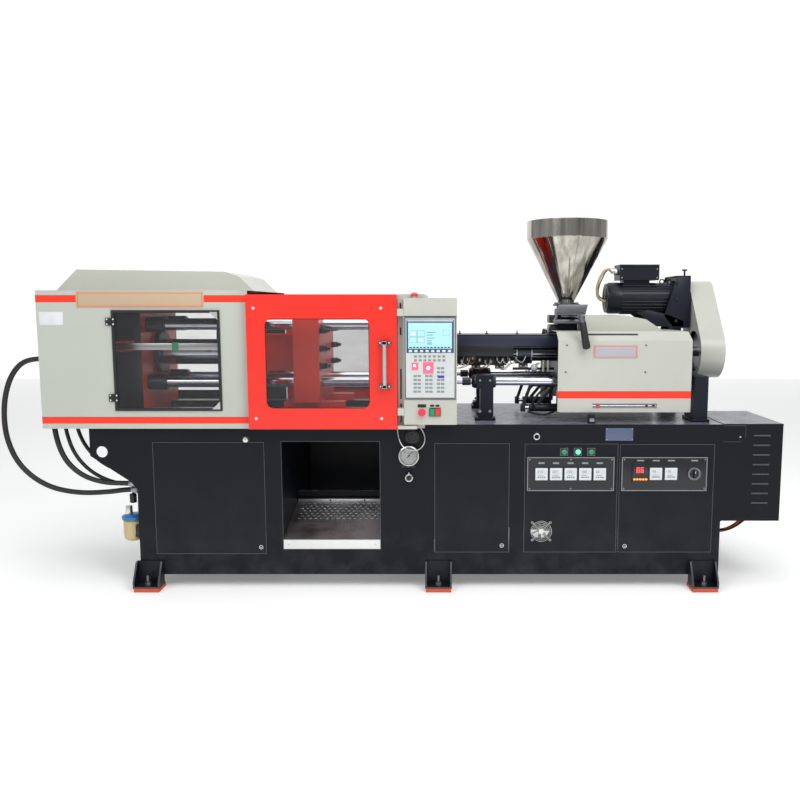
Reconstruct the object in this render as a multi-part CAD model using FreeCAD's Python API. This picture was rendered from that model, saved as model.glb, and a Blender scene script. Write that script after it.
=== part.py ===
"""Injection moulding machine: horizontal clamp, sliding gates, reciprocating screw unit and steel bed.

Millimetres, +X from the clamp end to the injection end, +Y to the back, +Z up.
The origin is on the floor under the middle of the machine.
"""
import FreeCAD, Part
import math
import os

V = FreeCAD.Vector

# ---- driving dimensions ----------------------------------------------------------------------
LENGTH = 4270.0          # clamp cover to side cabinet
HALF_BED = 500.0         # half the depth of the bed
BED_TOP = 975.0
BED_BOTTOM = 80.0
BED_LEFT = -1620.0
BED_RIGHT = 1790.0
ARM_LEFT = -1885.0       # overhanging end of the deck
SHEET = 6.0
DECK = 12.0
RUN = 0.06               # radial clearance of a running fit
GAP = 0.3                # clearance between pieces that pass each other

AXIS_Z = 1368.0          # height of the clamp, screw and barrel axis
TIE_R = 32.0
TIE_Y = 200.0
TIE_Z = 175.0
PLATEN_Y = 310.0
PLATEN_Z = 290.0
REAR_PLATEN = (-1790.0, -1630.0)
FIXED_PLATEN = (-130.0, 50.0)
MOVING_PLATEN = (-730.0, -575.0)
RAM_PLATE = (-1160.0, -1060.0)
RAM_R = 80.0
CYLINDER_R = 130.0
RAIL_TOP = 1035.0
RAIL_CUT = 20.0          # from the rail ends to the fixed platen

COVER_LEFT = -LENGTH / 2
COVER_RIGHT = -940.0
COVER_Y = 530.0
COVER_Z = (955.0, 1743.0)
COVER_WALL = 3.0
WINDOW_X = (-1710.0, -1098.0)
WINDOW_Z = (1059.0, 1632.0)
WINDOW_BAR = 16.0

GATE_X = (COVER_RIGHT, -95.0)
GATE_Z = (958.0, 1720.0)
GATE_Y = (550.0, 576.0)  # distance of the gate's two faces from the middle plane
GATE_WALL = 3.0
GATE_OPENING_X = (-835.0, -250.0)
GATE_OPENING_Z = (1078.0, 1585.0)
GATE_OPENING_R = 40.0
PANE = 5.0
HANDLE_X = -163.0
HANDLE_Z = (1205.0, 1450.0)
HANDLE_REACH = 50.0

ROD_Y = 280.0
ROD_Z = 1205.0
ROD_R = 25.0
THIN_ROD_R = 16.0
ROD_COLUMN = (365.0, 465.0)
REAR_COLUMN = (1640.0, 1720.0)
CARRIAGE_FRONT = (880.0, 985.0)
CARRIAGE_REAR = (1370.0, 1470.0)
CARRIAGE_Y = 340.0
CARRIAGE_Z = (1150.0, 1480.0)
BARREL_R = 60.0
BARREL_X = (140.0, 1000.0)
BORE_R = 22.5
SCREW_TIP = 150.0
NOZZLE_TIP = 10.0
SHAFT_R = 30.0
BAND_R = 76.0
BAND_WIDTH = 105.0
BAND_PITCH = 150.0
BAND_COUNT = 4
BARREL_COVER_X = (130.0, 868.0)
BARREL_COVER_Y = 128.0
BARREL_COVER_Z = (1397.0, 1478.0)
SKIRT_END = 600.0
SKIRT_BOTTOM = 1345.0

HOOD_X = (835.0, 1616.0)
HOOD_Y = 420.0
HOOD_Z = (1035.0, 1455.0, 1505.0)
HOOD_WALL = 2.0
HOOD_BEVEL = 90.0
HOOD_RAISED_X = (1015.0, 1490.0)
HOOD_RAISED_Y = (-262.0, 90.0)
HOOD_RAISED_TOP = 1598.0
HOOD_SLOT_X = (1041.0, 1417.0)
HOOD_SLOT_Z = (1064.0, 1082.0)

FEED_X = 938.0
THROAT_R = 38.0
BASE_FLANGE_TOP = 1668.0
HOPPER_RIM_Z = 2175.0
HOPPER_CREASE_Z = 2068.0
HOPPER_R = 250.0
HOPPER_NECK_R = 44.0
HOPPER_WALL = 2.0
SLIDE_Z = (1588.0, 1596.0)
SLIDE_HALF = 46.0
SLIDE_REACH = 460.0      # how far the arm stands out to the front

MOTOR_Y = 200.0
MOTOR_Z = 1705.0
MOTOR_R = 100.0
MOTOR_X = (1224.0, 1665.0)
MOTOR_SHAFT_R = 19.0
BRACKET_X = (1665.0, 1690.0)
PULLEY_X = (1770.0, 1830.0)
SCREW_PULLEY_R = 120.0
MOTOR_PULLEY_R = 60.0
BELT = 8.0
GUARD_X = (1750.0, 1900.0)
GUARD_BIG_R = 165.0
GUARD_SMALL_R = 110.0
GUARD_WALL = 3.0

PANEL_X = (-56.0, 243.0)
PANEL_Y = (-585.0, -536.0)
PANEL_Z = (986.0, 1700.0)
PANEL_WALL = 2.5
SCREEN_X = (-46.0, 231.0)
SCREEN_Z = (1140.0, 1588.0)
SCREEN_THICK = 7.0
STOP_X, START_X, HALT_X = 45.0, 104.0, 134.0
BUTTON_Z = 1059.0
STEM_R = 8.0
PORTAL_X = (-92.0, 60.0)
PORTAL_TOP = 1722.0
PORTAL_LEG = 32.0

DOOR_GAP = 2.0
DOOR_PROUD = 2.0
DOOR_DEPTH = 22.0
DOOR_SHEET = 2.0
SERVICE_DOOR = ((-1522.0, -873.0), (204.0, 872.0))
MIDDLE_DOOR = ((114.0, 551.0), (214.0, 866.0))
HEATER_DOOR = ((638.0, 1181.0), (214.0, 863.0))
DRIVE_DOOR = ((1190.0, 1742.0), (214.0, 860.0))
CHUTE = ((-774.0, -204.0), (234.0, 874.0))
CHUTE_LIP = 287.0
CHUTE_REAR_Y = -20.0
CHUTE_REAR_Z = 410.0

FAN_X, FAN_Z, FAN_R = 740.0, 343.0, 58.0
FAN_PIN_R = 4.0
INSTRUMENT_Z = 686.0
CONTROLLER = 72.0
CONTROLLER_X = [736.0 + 84.5 * i for i in range(5)]
LAMP_X = [866.0, 946.0, 1023.0]
LAMP_Z = 816.0
SELECTOR_X = 1625.0

GAUGE_X, GAUGE_Z, GAUGE_R = -33.0, 796.0, 58.0
GAUGE_VALVE_Z, GAUGE_VALVE_R = 665.0, 23.0
CABINET_X = (BED_RIGHT, LENGTH / 2)
CABINET_Y = (-497.0, 72.0)
CABINET_Z = (403.0, 978.0)
LOUVRE_X = (1965.0, 2062.0)
LOUVRE_COUNT = 8
LOUVRE_PITCH = 57.0

FOOT_X = [-1560.0, 138.0, 1690.0]
FOOT_HALF = 78.0
FOOT_REACH = 90.0
FOOT_Z = (24.0, 165.0)
FOOT_PLATE = 10.0

HOSE_D = 30.0
SMALL_HOSE_D = 22.0
MANIFOLD = ((-2124.0, -1950.0), (-492.0, -20.0), (1170.0, 1242.0))
OUTER_HOSE_EXIT_Z = 1352.0


# ---- small builders --------------------------------------------------------------------------
def box(x, y, z):
    """A block between two values on each axis."""
    return Part.makeBox(x[1] - x[0], y[1] - y[0], z[1] - z[0], V(x[0], y[0], z[0]))


def rod_x(x, y, z, radius):
    """A round bar along X."""
    return Part.makeCylinder(radius, x[1] - x[0], V(x[0], y, z), V(1, 0, 0))


def rod_y(x, y, z, radius):
    """A round bar along Y."""
    return Part.makeCylinder(radius, y[1] - y[0], V(x, y[0], z), V(0, 1, 0))


def rod_z(x, y, z, radius):
    """A round bar along Z."""
    return Part.makeCylinder(radius, z[1] - z[0], V(x, y, z[0]), V(0, 0, 1))


def prism(points, along):
    """A prism from a closed outline of vectors, pushed along a vector."""
    return Part.Face(Part.makePolygon(points + [points[0]])).extrude(along)


def grown(span, amount):
    """A span made longer by an amount at each end."""
    return span[0] - amount, span[1] + amount


def mirrored(shape):
    """The same shape on the other side of the middle plane."""
    return shape.mirror(V(0, 0, 0), V(0, 1, 0))


def both_sides(shape):
    """A shape and its mirror image."""
    return [shape, mirrored(shape)]


def fused(shapes):
    """One solid from shapes that touch or overlap."""
    return shapes[0].fuse(shapes[1:]).removeSplitter()


def rounded_window(x, y, z, radius):
    """A block along Y with its four edges rounded."""
    block = box(x, y, z)
    edges = [e for e in block.Edges if abs(e.tangentAt(e.FirstParameter).y) > 0.9]
    return block.makeFillet(radius, edges)


def save(name, *shapes):
    """Write one node."""
    shape = shapes[0] if len(shapes) == 1 else Part.makeCompound(list(shapes))
    shape.exportStep(os.path.join("parts", name + ".step"))
    print(f"{name:22s} solids {len(shape.Solids):2d} volume {shape.Volume / 1e6:10.3f} dm3")


def tie_positions():
    """Middle of each tie bar, as Y and Z."""
    return [(sy * TIE_Y, AXIS_Z + sz * TIE_Z) for sy in (-1, 1) for sz in (-1, 1)]


# ---- bed ---------------------------------------------------------------------------------------
def bed_arm():
    """Side plate that carries the overhanging end of the deck, with its lifting hole."""
    outline = [(BED_LEFT, BED_TOP), (ARM_LEFT, BED_TOP), (ARM_LEFT, 790), (-1653, 634), (BED_LEFT, 590)]
    plate = prism([V(x, -HALF_BED, z) for x, z in outline], V(0, SHEET, 0))
    return plate.cut(rod_y(-1816, (-HALF_BED - 1, -HALF_BED + SHEET + 1), 814, 33))


def bed_frame():
    """Welded box of the bed with its deck, door openings, chute walls and platen rails."""
    inside_y = (-HALF_BED + SHEET, HALF_BED - SHEET)
    shell = box((BED_LEFT, BED_RIGHT), (-HALF_BED, HALF_BED), (BED_BOTTOM, BED_TOP))
    shell = shell.cut(box((BED_LEFT + SHEET, BED_RIGHT - SHEET), inside_y, (BED_BOTTOM - 1, BED_TOP - DECK)))
    front = (-HALF_BED - 1, -HALF_BED + SHEET + 1)
    for x, z in (SERVICE_DOOR, MIDDLE_DOOR, HEATER_DOOR, DRIVE_DOOR):
        shell = shell.cut(box(grown(x, DOOR_GAP), front, (z[0] - GAP, z[1] + DOOR_GAP)))
    shell = shell.cut(box(CHUTE[0], front, CHUTE[1]))
    walls = [box((x, x + SHEET), grown(inside_y, 1), (BED_BOTTOM, BED_TOP - 1))
             for x in (CHUTE[0][0] - SHEET, CHUTE[0][1])]
    bar = box(grown(CHUTE[0], 1), (0, 20), (413, 466))
    rails = both_sides(box((ARM_LEFT, FIXED_PLATEN[0] - RAIL_CUT), (170, 270), (BED_TOP - 1, RAIL_TOP)))
    deck_end = box((ARM_LEFT, BED_LEFT + 1), (-HALF_BED, HALF_BED), (BED_TOP - DECK, BED_TOP))
    frame = fused([shell, deck_end, bar] + walls + rails + both_sides(bed_arm()))
    drop = box(grown(CHUTE[0], -40), (-165, 165), (BED_TOP - DECK - 1, BED_TOP + 1))
    tab = [(BED_RIGHT, BED_TOP), (1918, BED_TOP), (1918, 892), (1898, 872), (BED_RIGHT, 872)]
    flange = prism([V(x, -HALF_BED, z) for x, z in tab], V(0, 3, 0))
    return fused([frame.cut(drop), flange])


def foot_bracket(x):
    """Open-fronted welded bracket with sloping cheeks and a bolt hole in its sole."""
    back = -HALF_BED
    front = back - FOOT_REACH
    sole = box((x - FOOT_HALF, x + FOOT_HALF), (front, back), (FOOT_Z[0], FOOT_Z[0] + FOOT_PLATE))
    spine = box((x - FOOT_HALF, x + FOOT_HALF), (back - FOOT_PLATE, back), FOOT_Z)
    outline = [(front, FOOT_Z[0]), (back, FOOT_Z[0]), (back, FOOT_Z[1]), (back - 30, FOOT_Z[1]),
               (front, FOOT_Z[0] + 35)]
    cheeks = [prism([V(side, y, z) for y, z in outline], V(FOOT_PLATE, 0, 0))
              for side in (x - FOOT_HALF, x + FOOT_HALF - FOOT_PLATE)]
    return fused([sole, spine] + cheeks)


def foot_pad(x):
    """Rubber block under a bracket."""
    pad = box(grown((x, x), FOOT_HALF - 4), (-HALF_BED - FOOT_REACH, -HALF_BED + 30), (0, FOOT_Z[0]))
    return pad.makeChamfer(2, pad.Edges)


def drop_chute():
    """Sloping tray under the mould with its upright lip at the front."""
    x = grown(CHUTE[0], -1)
    sill = CHUTE[1][0]
    outline = [(-HALF_BED + 3, sill), (-HALF_BED + 3, CHUTE_LIP), (CHUTE_REAR_Y, CHUTE_REAR_Z),
               (CHUTE_REAR_Y, CHUTE_REAR_Z + 3), (-HALF_BED, CHUTE_LIP + 3), (-HALF_BED, sill)]
    tray = prism([V(x[0], y, z) for y, z in outline], V(x[1] - x[0], 0, 0))
    hook = box(x, (CHUTE_REAR_Y - 1, 0), (CHUTE_REAR_Z, CHUTE_REAR_Z + 3))
    return fused([tray, hook])


def door(spec, extra=None):
    """Shallow sheet tray that fills one opening of the bed."""
    x, z = spec
    face = -HALF_BED - DOOR_PROUD
    tray = box(x, (face, face + DOOR_DEPTH), z)
    return tray.cut(box(grown(x, -DOOR_SHEET), (face + DOOR_SHEET, face + DOOR_DEPTH + 1), grown(z, -DOOR_SHEET)))


def heater_door():
    """Door with its fan opening, fan ring, rear spider and the fan's pin."""
    face = -HALF_BED - DOOR_PROUD
    ring = rod_y(FAN_X, (face, face + 55), FAN_Z, FAN_R + 5)
    rear = (face + 51, face + 55)
    spider = [box((FAN_X - FAN_R - 3, FAN_X + FAN_R + 3), rear, (FAN_Z - 6, FAN_Z + 6)),
              box((FAN_X - 6, FAN_X + 6), rear, (FAN_Z - FAN_R - 3, FAN_Z + FAN_R + 3)),
              rod_y(FAN_X, (face + 20, face + 52), FAN_Z, FAN_PIN_R)]
    opening = rod_y(FAN_X, (face - 1, face + 56), FAN_Z, FAN_R)
    return fused([fused([door(HEATER_DOOR), ring]).cut(opening)] + spider)


def fan_rotor():
    """Hub and seven flat blades that run on the pin."""
    face = -HALF_BED - DOOR_PROUD
    hub = rod_y(FAN_X, (face + 18, face + 44), FAN_Z, 20)
    blades = []
    for i in range(7):
        blade = box((0, FAN_R - 4), (face + 22, face + 40), (-1.5, 1.5))
        blade.rotate(V(0, face + 31, 0), V(1, 0, 0), 35)
        blade.rotate(V(0, 0, 0), V(0, 1, 0), 360 / 7 * i)
        blade.translate(V(FAN_X, 0, FAN_Z))
        blades.append(blade)
    bore = rod_y(FAN_X, (face + 19.7, face + 60), FAN_Z, FAN_PIN_R + RUN)
    return fused([hub] + blades).cut(bore)


def heater_panel():
    """Instrument plate, its five controllers and the three pilot lamps."""
    face = -HALF_BED - DOOR_PROUD
    plate = box((654, 1160), (face - 4, face), (584, 784))
    tiles = [box(grown((x, x), CONTROLLER / 2), (face - 12, face - 4), grown((INSTRUMENT_Z,) * 2, CONTROLLER / 2))
             for x in CONTROLLER_X]
    lamps = [fused([box(grown((x, x), 22), (face - 4, face), grown((LAMP_Z,) * 2, 22)),
                    rod_y(x, (face - 12, face - 3), LAMP_Z, 14)]) for x in LAMP_X]
    return [plate] + tiles + lamps


def selector_switch():
    """Round knob with a grip bar, on a stem that turns in the door."""
    face = -HALF_BED - DOOR_PROUD
    knob = rod_y(SELECTOR_X, (face - 14, face - GAP), INSTRUMENT_Z, 24)
    grip = box((SELECTOR_X - 6, SELECTOR_X + 6), (face - 30, face - 13), grown((INSTRUMENT_Z,) * 2, 23))
    return fused([knob, grip, rod_y(SELECTOR_X, (face - 1, face + 12), INSTRUMENT_Z, STEM_R)])


def pressure_gauge():
    """Dial gauge with an open recess for its needle, and the push valve under it."""
    back = -HALF_BED
    case = rod_y(GAUGE_X, (back - 34, back), GAUGE_Z, GAUGE_R)
    recess = rod_y(GAUGE_X, (back - 35, back - 26), GAUGE_Z, GAUGE_R - 6)
    pin = rod_y(GAUGE_X, (back - 31, back - 25), GAUGE_Z, 2)
    valve = rod_y(GAUGE_X, (back - 26, back), GAUGE_VALVE_Z, GAUGE_VALVE_R)
    return [fused([case.cut(recess), pin]), valve]


def gauge_needle():
    """Needle that turns on the gauge's pin."""
    y = (-HALF_BED - 30, -HALF_BED - 28)
    blade = prism([V(-2.5, y[0], -16), V(2.5, y[0], -16), V(0.8, y[0], 42), V(-0.8, y[0], 42)], V(0, 2, 0))
    blade.rotate(V(0, 0, 0), V(0, 1, 0), 40)
    blade.translate(V(GAUGE_X, 0, GAUGE_Z))
    hub = rod_y(GAUGE_X, y, GAUGE_Z, 6)
    return fused([hub, blade]).cut(rod_y(GAUGE_X, grown(y, 1), GAUGE_Z, 2 + RUN))


def side_cabinet():
    """Sheet cabinet at the injection end with its louvres."""
    shell = box(CABINET_X, CABINET_Y, CABINET_Z)
    shell = shell.cut(box(grown(CABINET_X, -3), grown(CABINET_Y, -3), grown(CABINET_Z, -3)))
    front = (CABINET_Y[0] - 1, CABINET_Y[0] + 4)
    for i in range(LOUVRE_COUNT):
        z = 905 - LOUVRE_PITCH * i
        shell = shell.cut(box(LOUVRE_X, front, (z - 4, z + 4)))
    return shell


# ---- clamp -------------------------------------------------------------------------------------
def clamp_cover():
    """Folded cover over the clamp, open below and towards the mould, with two window openings."""
    shell = box((COVER_LEFT, COVER_RIGHT), (-COVER_Y, COVER_Y), COVER_Z)
    inner = box((COVER_LEFT + COVER_WALL, COVER_RIGHT + 1), grown((-COVER_Y, COVER_Y), -COVER_WALL),
                (COVER_Z[0] - 1, COVER_Z[1] - COVER_WALL))
    window = box(grown(WINDOW_X, -WINDOW_BAR / 2), (-COVER_Y - 1, COVER_Y + 1), grown(WINDOW_Z, -WINDOW_BAR / 2))
    port = rod_x((COVER_LEFT - 1, COVER_LEFT + COVER_WALL + 1), -440, OUTER_HOSE_EXIT_Z, HOSE_D / 2 + 6)
    lips = both_sides(box((BED_LEFT, COVER_RIGHT), (HALF_BED, COVER_Y - 1), (COVER_Z[0], COVER_Z[0] + 3)))
    return fused([shell.cut(inner).cut(window).cut(port)] + lips)


def roof_cover():
    """Raised hood on the roof of the clamp cover with a sloping left end."""
    base = COVER_Z[1]
    outer = [(-2112, base), (-1985, base + 125), (-1120, base + 112), (-1035, base + 86), (-948, base)]
    inner = [(-2102, base - 1), (-1984, base + 122), (-1121, base + 109), (-1037, base + 83), (-955, base - 1)]
    skin = prism([V(x, -330, z) for x, z in outer], V(0, 660, 0))
    return skin.cut(prism([V(x, -327, z) for x, z in inner], V(0, 654, 0)))


def clamp_window():
    """Hinged black frame of the clamp window with its two hinge leaves."""
    y = (-COVER_Y - 8, -COVER_Y - GAP)
    frame = box(WINDOW_X, y, WINDOW_Z).cut(box(grown(WINDOW_X, -WINDOW_BAR), grown(y, 1), grown(WINDOW_Z, -WINDOW_BAR)))
    seat = box(grown(WINDOW_X, -WINDOW_BAR / 2), (y[0] + 3, y[1] + 1), grown(WINDOW_Z, -WINDOW_BAR / 2))
    leaves = [box((WINDOW_X[0], WINDOW_X[0] + 22), (y[0] - 5, y[0]), (z - 22, z + 22))
              for z in (WINDOW_Z[0] + 75, WINDOW_Z[1] - 65)]
    return fused([frame.cut(seat)] + leaves)


def window_pane():
    """Clear sheet held in the hinged frame."""
    y = -COVER_Y - 8
    return box(grown(WINDOW_X, -WINDOW_BAR / 2), (y + 3, y + 7), grown(WINDOW_Z, -WINDOW_BAR / 2))


def gate():
    """Sliding gate: a sheet with folded edges and a rounded window."""
    y = (-GATE_Y[1], -GATE_Y[0])
    tray = box(GATE_X, y, GATE_Z)
    tray = tray.cut(box(grown(GATE_X, -GATE_WALL), (y[0] + GATE_WALL, y[1] + 1), grown(GATE_Z, -GATE_WALL)))
    return tray.cut(rounded_window(GATE_OPENING_X, grown((y[0], y[0] + GATE_WALL), 1), GATE_OPENING_Z,
                                   GATE_OPENING_R))


def gate_pane():
    """Clear sheet behind the gate's window."""
    front = -GATE_Y[1] + GATE_WALL
    return box(grown(GATE_OPENING_X, 20), (front, front + PANE), grown(GATE_OPENING_Z, 20))


def gate_handle():
    """Tube between two end blocks on the face of the gate."""
    face = -GATE_Y[1]
    blocks = [box((HANDLE_X - 36, HANDLE_X + 36), (face - 16, face), (z - 10, z + 10)) for z in HANDLE_Z]
    posts = [box((HANDLE_X - 14, HANDLE_X + 14), (face - HANDLE_REACH, face - 15), (z - 10, z + 10))
             for z in HANDLE_Z]
    ends = [fused([a, b]) for a, b in zip(blocks, posts)]
    tube = rod_z(HANDLE_X, face - HANDLE_REACH + 14, (HANDLE_Z[0] + 10, HANDLE_Z[1] - 10), 12)
    return ends + [tube]


def gate_frame():
    """Portal over the fixed platen, welded to the rails that the gates run along."""
    leg = box(PORTAL_X, (-HALF_BED - PORTAL_LEG, -HALF_BED), (GATE_Z[0], PORTAL_TOP))
    lug = box((PORTAL_X[0], PANEL_X[0] - GAP), (PANEL_Y[0] - 5, -HALF_BED - PORTAL_LEG + 1), (1040, 1080))
    lugs = [lug, lug.translated(V(0, 0, 560))]
    rail_y = (-GATE_Y[0] + GAP, -GATE_Y[0] + 30)
    rails = [box((COVER_RIGHT, PORTAL_X[0] + 1), rail_y, z) for z in ((1704, 1718), (960, 974))]
    beam = box(PORTAL_X, (-HALF_BED - PORTAL_LEG, HALF_BED + PORTAL_LEG), (PORTAL_TOP - 20, PORTAL_TOP))
    return fused([beam] + both_sides(leg) + lugs + rails + [mirrored(r) for r in rails])


def platen(x, bottom, hole_radius):
    """Upright plate with its four tie bar holes."""
    plate = box(x, (-PLATEN_Y, PLATEN_Y), (bottom, AXIS_Z + PLATEN_Z))
    for y, z in tie_positions():
        plate = plate.cut(rod_x(grown(x, 1), y, z, hole_radius))
    return plate


def rear_platen():
    """Platen at the end of the tie bars that carries the clamp cylinder."""
    plate = platen(REAR_PLATEN, BED_TOP, TIE_R + 0.2)
    feet = both_sides(box(grown(REAR_PLATEN, 1), (169, 271), (BED_TOP - 1, RAIL_TOP)))
    return plate.cut(Part.makeCompound(feet)).cut(rod_x(grown(REAR_PLATEN, 1), 0, AXIS_Z, CYLINDER_R + 0.2))


def fixed_platen():
    """Platen that carries the fixed mould half, with its nozzle opening."""
    plate = platen(FIXED_PLATEN, BED_TOP, TIE_R + 0.2)
    cone = Part.makeCone(50, 95, 181, V(FIXED_PLATEN[0] - 0.5, 0, AXIS_Z), V(1, 0, 0))
    return plate.cut(cone)


def moving_platen():
    """Box casting that slides on the tie bars: front plate, ram plate, ribs and shoes."""
    hole = TIE_R + RUN
    front = platen(MOVING_PLATEN, AXIS_Z - PLATEN_Z, hole)
    back = box(RAM_PLATE, (-270, 270), (AXIS_Z - 245, AXIS_Z + 245))
    ribs = [box((RAM_PLATE[1] - 1, MOVING_PLATEN[0] + 1), (sy * 130 - 15, sy * 130 + 15), (AXIS_Z - 110, AXIS_Z + 110))
            for sy in (-1, 1)]
    bosses = []
    for y, z in tie_positions():
        back = back.cut(rod_x(grown(RAM_PLATE, 1), y, z, hole))
        boss = rod_x((RAM_PLATE[1] - 1, RAM_PLATE[1] + 60), y, z, TIE_R + 24)
        bosses.append(boss.cut(rod_x(grown(RAM_PLATE, 70), y, z, hole)))
    shoes = both_sides(box((-800, -430), (180, 260), (RAIL_TOP + GAP, AXIS_Z - PLATEN_Z + 1)))
    casting = fused([front, back] + ribs + bosses + shoes)
    for y in (-60, 60):
        casting = casting.cut(rod_x(grown(MOVING_PLATEN, 1), y, AXIS_Z, 10 + RUN))
    return casting


def ejector():
    """Ejector plate with its two rods through the moving platen."""
    plate = box((-880, -855), (-95, 95), (AXIS_Z - 70, AXIS_Z + 70))
    rods = [rod_x((-856, MOVING_PLATEN[1] - 10), y, AXIS_Z, 10) for y in (-60, 60)]
    return fused([plate] + rods)


def clamp_cylinder():
    """Hydraulic cylinder of the clamp, closed at its rear end."""
    x = (-2095.0, REAR_PLATEN[1] + 30)
    return rod_x(x, 0, AXIS_Z, CYLINDER_R).cut(rod_x((x[0] + 60, x[1] + 1), 0, AXIS_Z, RAM_R + RUN))


def nut(x, y, z):
    """Hexagon nut around a tie bar."""
    radius = 62
    points = [V(x[0], y + radius * math.cos(math.radians(60 * i)), z + radius * math.sin(math.radians(60 * i)))
              for i in range(6)]
    return prism(points, V(x[1] - x[0], 0, 0)).cut(rod_x(grown(x, 1), y, z, TIE_R + 0.2))


# ---- injection unit ------------------------------------------------------------------------------
def rod_columns():
    """Four pedestals that carry the guide rods of the injection unit."""
    front = box(ROD_COLUMN, (-330, -225), (BED_TOP, 1245))
    rear = box(REAR_COLUMN, (-412, -225), (BED_TOP, 1245))
    waist = box((ROD_COLUMN[0] - 1, ROD_COLUMN[0] + 22), (-331, -224), (BED_TOP + 45, 1165))
    result = []
    for column in (front.cut(waist), rear):
        bored = column.cut(rod_x((ROD_COLUMN[0] - 5, REAR_COLUMN[1] + 5), -ROD_Y, ROD_Z, ROD_R + 0.1))
        result += both_sides(bored)
    return result


def guide_rod():
    """Stepped rod from the fixed platen through both pedestals."""
    thick = rod_x((ROD_COLUMN[0], REAR_COLUMN[1]), -ROD_Y, ROD_Z, ROD_R)
    return fused([thick, rod_x((FIXED_PLATEN[1], ROD_COLUMN[0] + 1), -ROD_Y, ROD_Z, THIN_ROD_R)])


def carriage():
    """Housing of the injection unit that slides along the guide rods."""
    plates = [box(x, (-CARRIAGE_Y, CARRIAGE_Y), CARRIAGE_Z) for x in (CARRIAGE_FRONT, CARRIAGE_REAR)]
    sides = both_sides(box((CARRIAGE_FRONT[1] - 1, CARRIAGE_REAR[0] + 1), (CARRIAGE_Y - 22, CARRIAGE_Y), (1155, 1330)))
    body = fused(plates + sides)
    for sy in (-1, 1):
        body = body.cut(rod_x((CARRIAGE_FRONT[0] - 1, CARRIAGE_REAR[1] + 1), sy * ROD_Y, ROD_Z, ROD_R + RUN))
    body = body.cut(rod_x(grown(CARRIAGE_FRONT, 1), 0, AXIS_Z, BARREL_R + 0.2))
    body = body.cut(rod_x(grown(CARRIAGE_REAR, 1), 0, AXIS_Z, SHAFT_R + RUN))
    return body.cut(rod_z(FEED_X, 0, (AXIS_Z, CARRIAGE_Z[1] + 1), THROAT_R))


def barrel():
    """Barrel with its nozzle, screw bore and feed opening."""
    tube = rod_x(BARREL_X, 0, AXIS_Z, BARREL_R)
    nozzle = Part.makeCone(12, 32, BARREL_X[0] - NOZZLE_TIP + 1, V(NOZZLE_TIP, 0, AXIS_Z), V(1, 0, 0))
    body = fused([tube, nozzle])
    body = body.cut(rod_x((SCREW_TIP - 5, BARREL_X[1] + 1), 0, AXIS_Z, BORE_R))
    body = body.cut(rod_x((NOZZLE_TIP - 1, SCREW_TIP), 0, AXIS_Z, 3))
    return body.cut(rod_z(FEED_X, 0, (AXIS_Z, AXIS_Z + BARREL_R + 5), THROAT_R - 4))


def heater_band(x):
    """Clamp band around the barrel with its terminal box below."""
    ring = rod_x((x, x + BAND_WIDTH), 0, AXIS_Z, BAND_R)
    block = box((x + 25, x + 80), (-26, 26), (AXIS_Z - BAND_R - 32, AXIS_Z - BAND_R + 12))
    return fused([ring, block]).cut(rod_x((x - 1, x + BAND_WIDTH + 1), 0, AXIS_Z, BARREL_R + 0.2))


def barrel_cover():
    """Folded guard over the barrel with a longer front skirt, on two saddles that sit on the bands."""
    y, z = BARREL_COVER_Y, BARREL_COVER_Z
    outline = [(-y, z[0]), (-y, z[1] - 30), (-y + 45, z[1]), (y - 45, z[1]), (y, z[1] - 30), (y, z[0])]
    inner = [(-y + 2, z[0] - 1), (-y + 2, z[1] - 31), (-y + 46, z[1] - 2), (y - 46, z[1] - 2), (y - 2, z[1] - 31),
             (y - 2, z[0] - 1)]
    length = V(BARREL_COVER_X[1] - BARREL_COVER_X[0], 0, 0)
    skin = prism([V(BARREL_COVER_X[0], a, b) for a, b in outline], length)
    skin = skin.cut(prism([V(BARREL_COVER_X[0] - 1, a, b) for a, b in inner], length + V(2, 0, 0)))
    skirts = both_sides(box((BARREL_COVER_X[0], SKIRT_END), (-y, -y + 2), (SKIRT_BOTTOM, z[0] + 1)))
    saddles = [box((x, x + 20), (-30, 30), (AXIS_Z + BAND_R, z[1] - 1)) for x in (195, 645)]
    return fused([skin] + skirts + saddles)


def screw():
    """Plasticating screw: root, flights as collars, and the drive shaft."""
    flight_r = BORE_R - RUN
    pieces = [rod_x((SCREW_TIP, BARREL_X[1] + 20), 0, AXIS_Z, 15)]
    pitch = 2 * BORE_R
    for i in range(int((BARREL_X[1] - SCREW_TIP) / pitch)):
        x = SCREW_TIP + 10 + pitch * i
        pieces.append(rod_x((x, x + 6), 0, AXIS_Z, flight_r))
    pieces.append(rod_x((BARREL_X[1] + 10, PULLEY_X[0]), 0, AXIS_Z, SHAFT_R))
    return fused(pieces)


def hopper():
    """Spun hopper: short cylinder above a cone, one thin wall."""
    wall = HOPPER_WALL
    base = BASE_FLANGE_TOP
    outline = [(HOPPER_NECK_R, base), (HOPPER_R, HOPPER_CREASE_Z), (HOPPER_R, HOPPER_RIM_Z),
               (HOPPER_R - wall, HOPPER_RIM_Z), (HOPPER_R - wall, HOPPER_CREASE_Z + 1), (HOPPER_NECK_R - wall, base + 1),
               (HOPPER_NECK_R - wall, base)]
    points = [V(FEED_X + r, 0, z) for r, z in outline]
    face = Part.Face(Part.makePolygon(points + [points[0]]))
    return face.revolve(V(FEED_X, 0, 0), V(0, 0, 1), 360)


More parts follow.
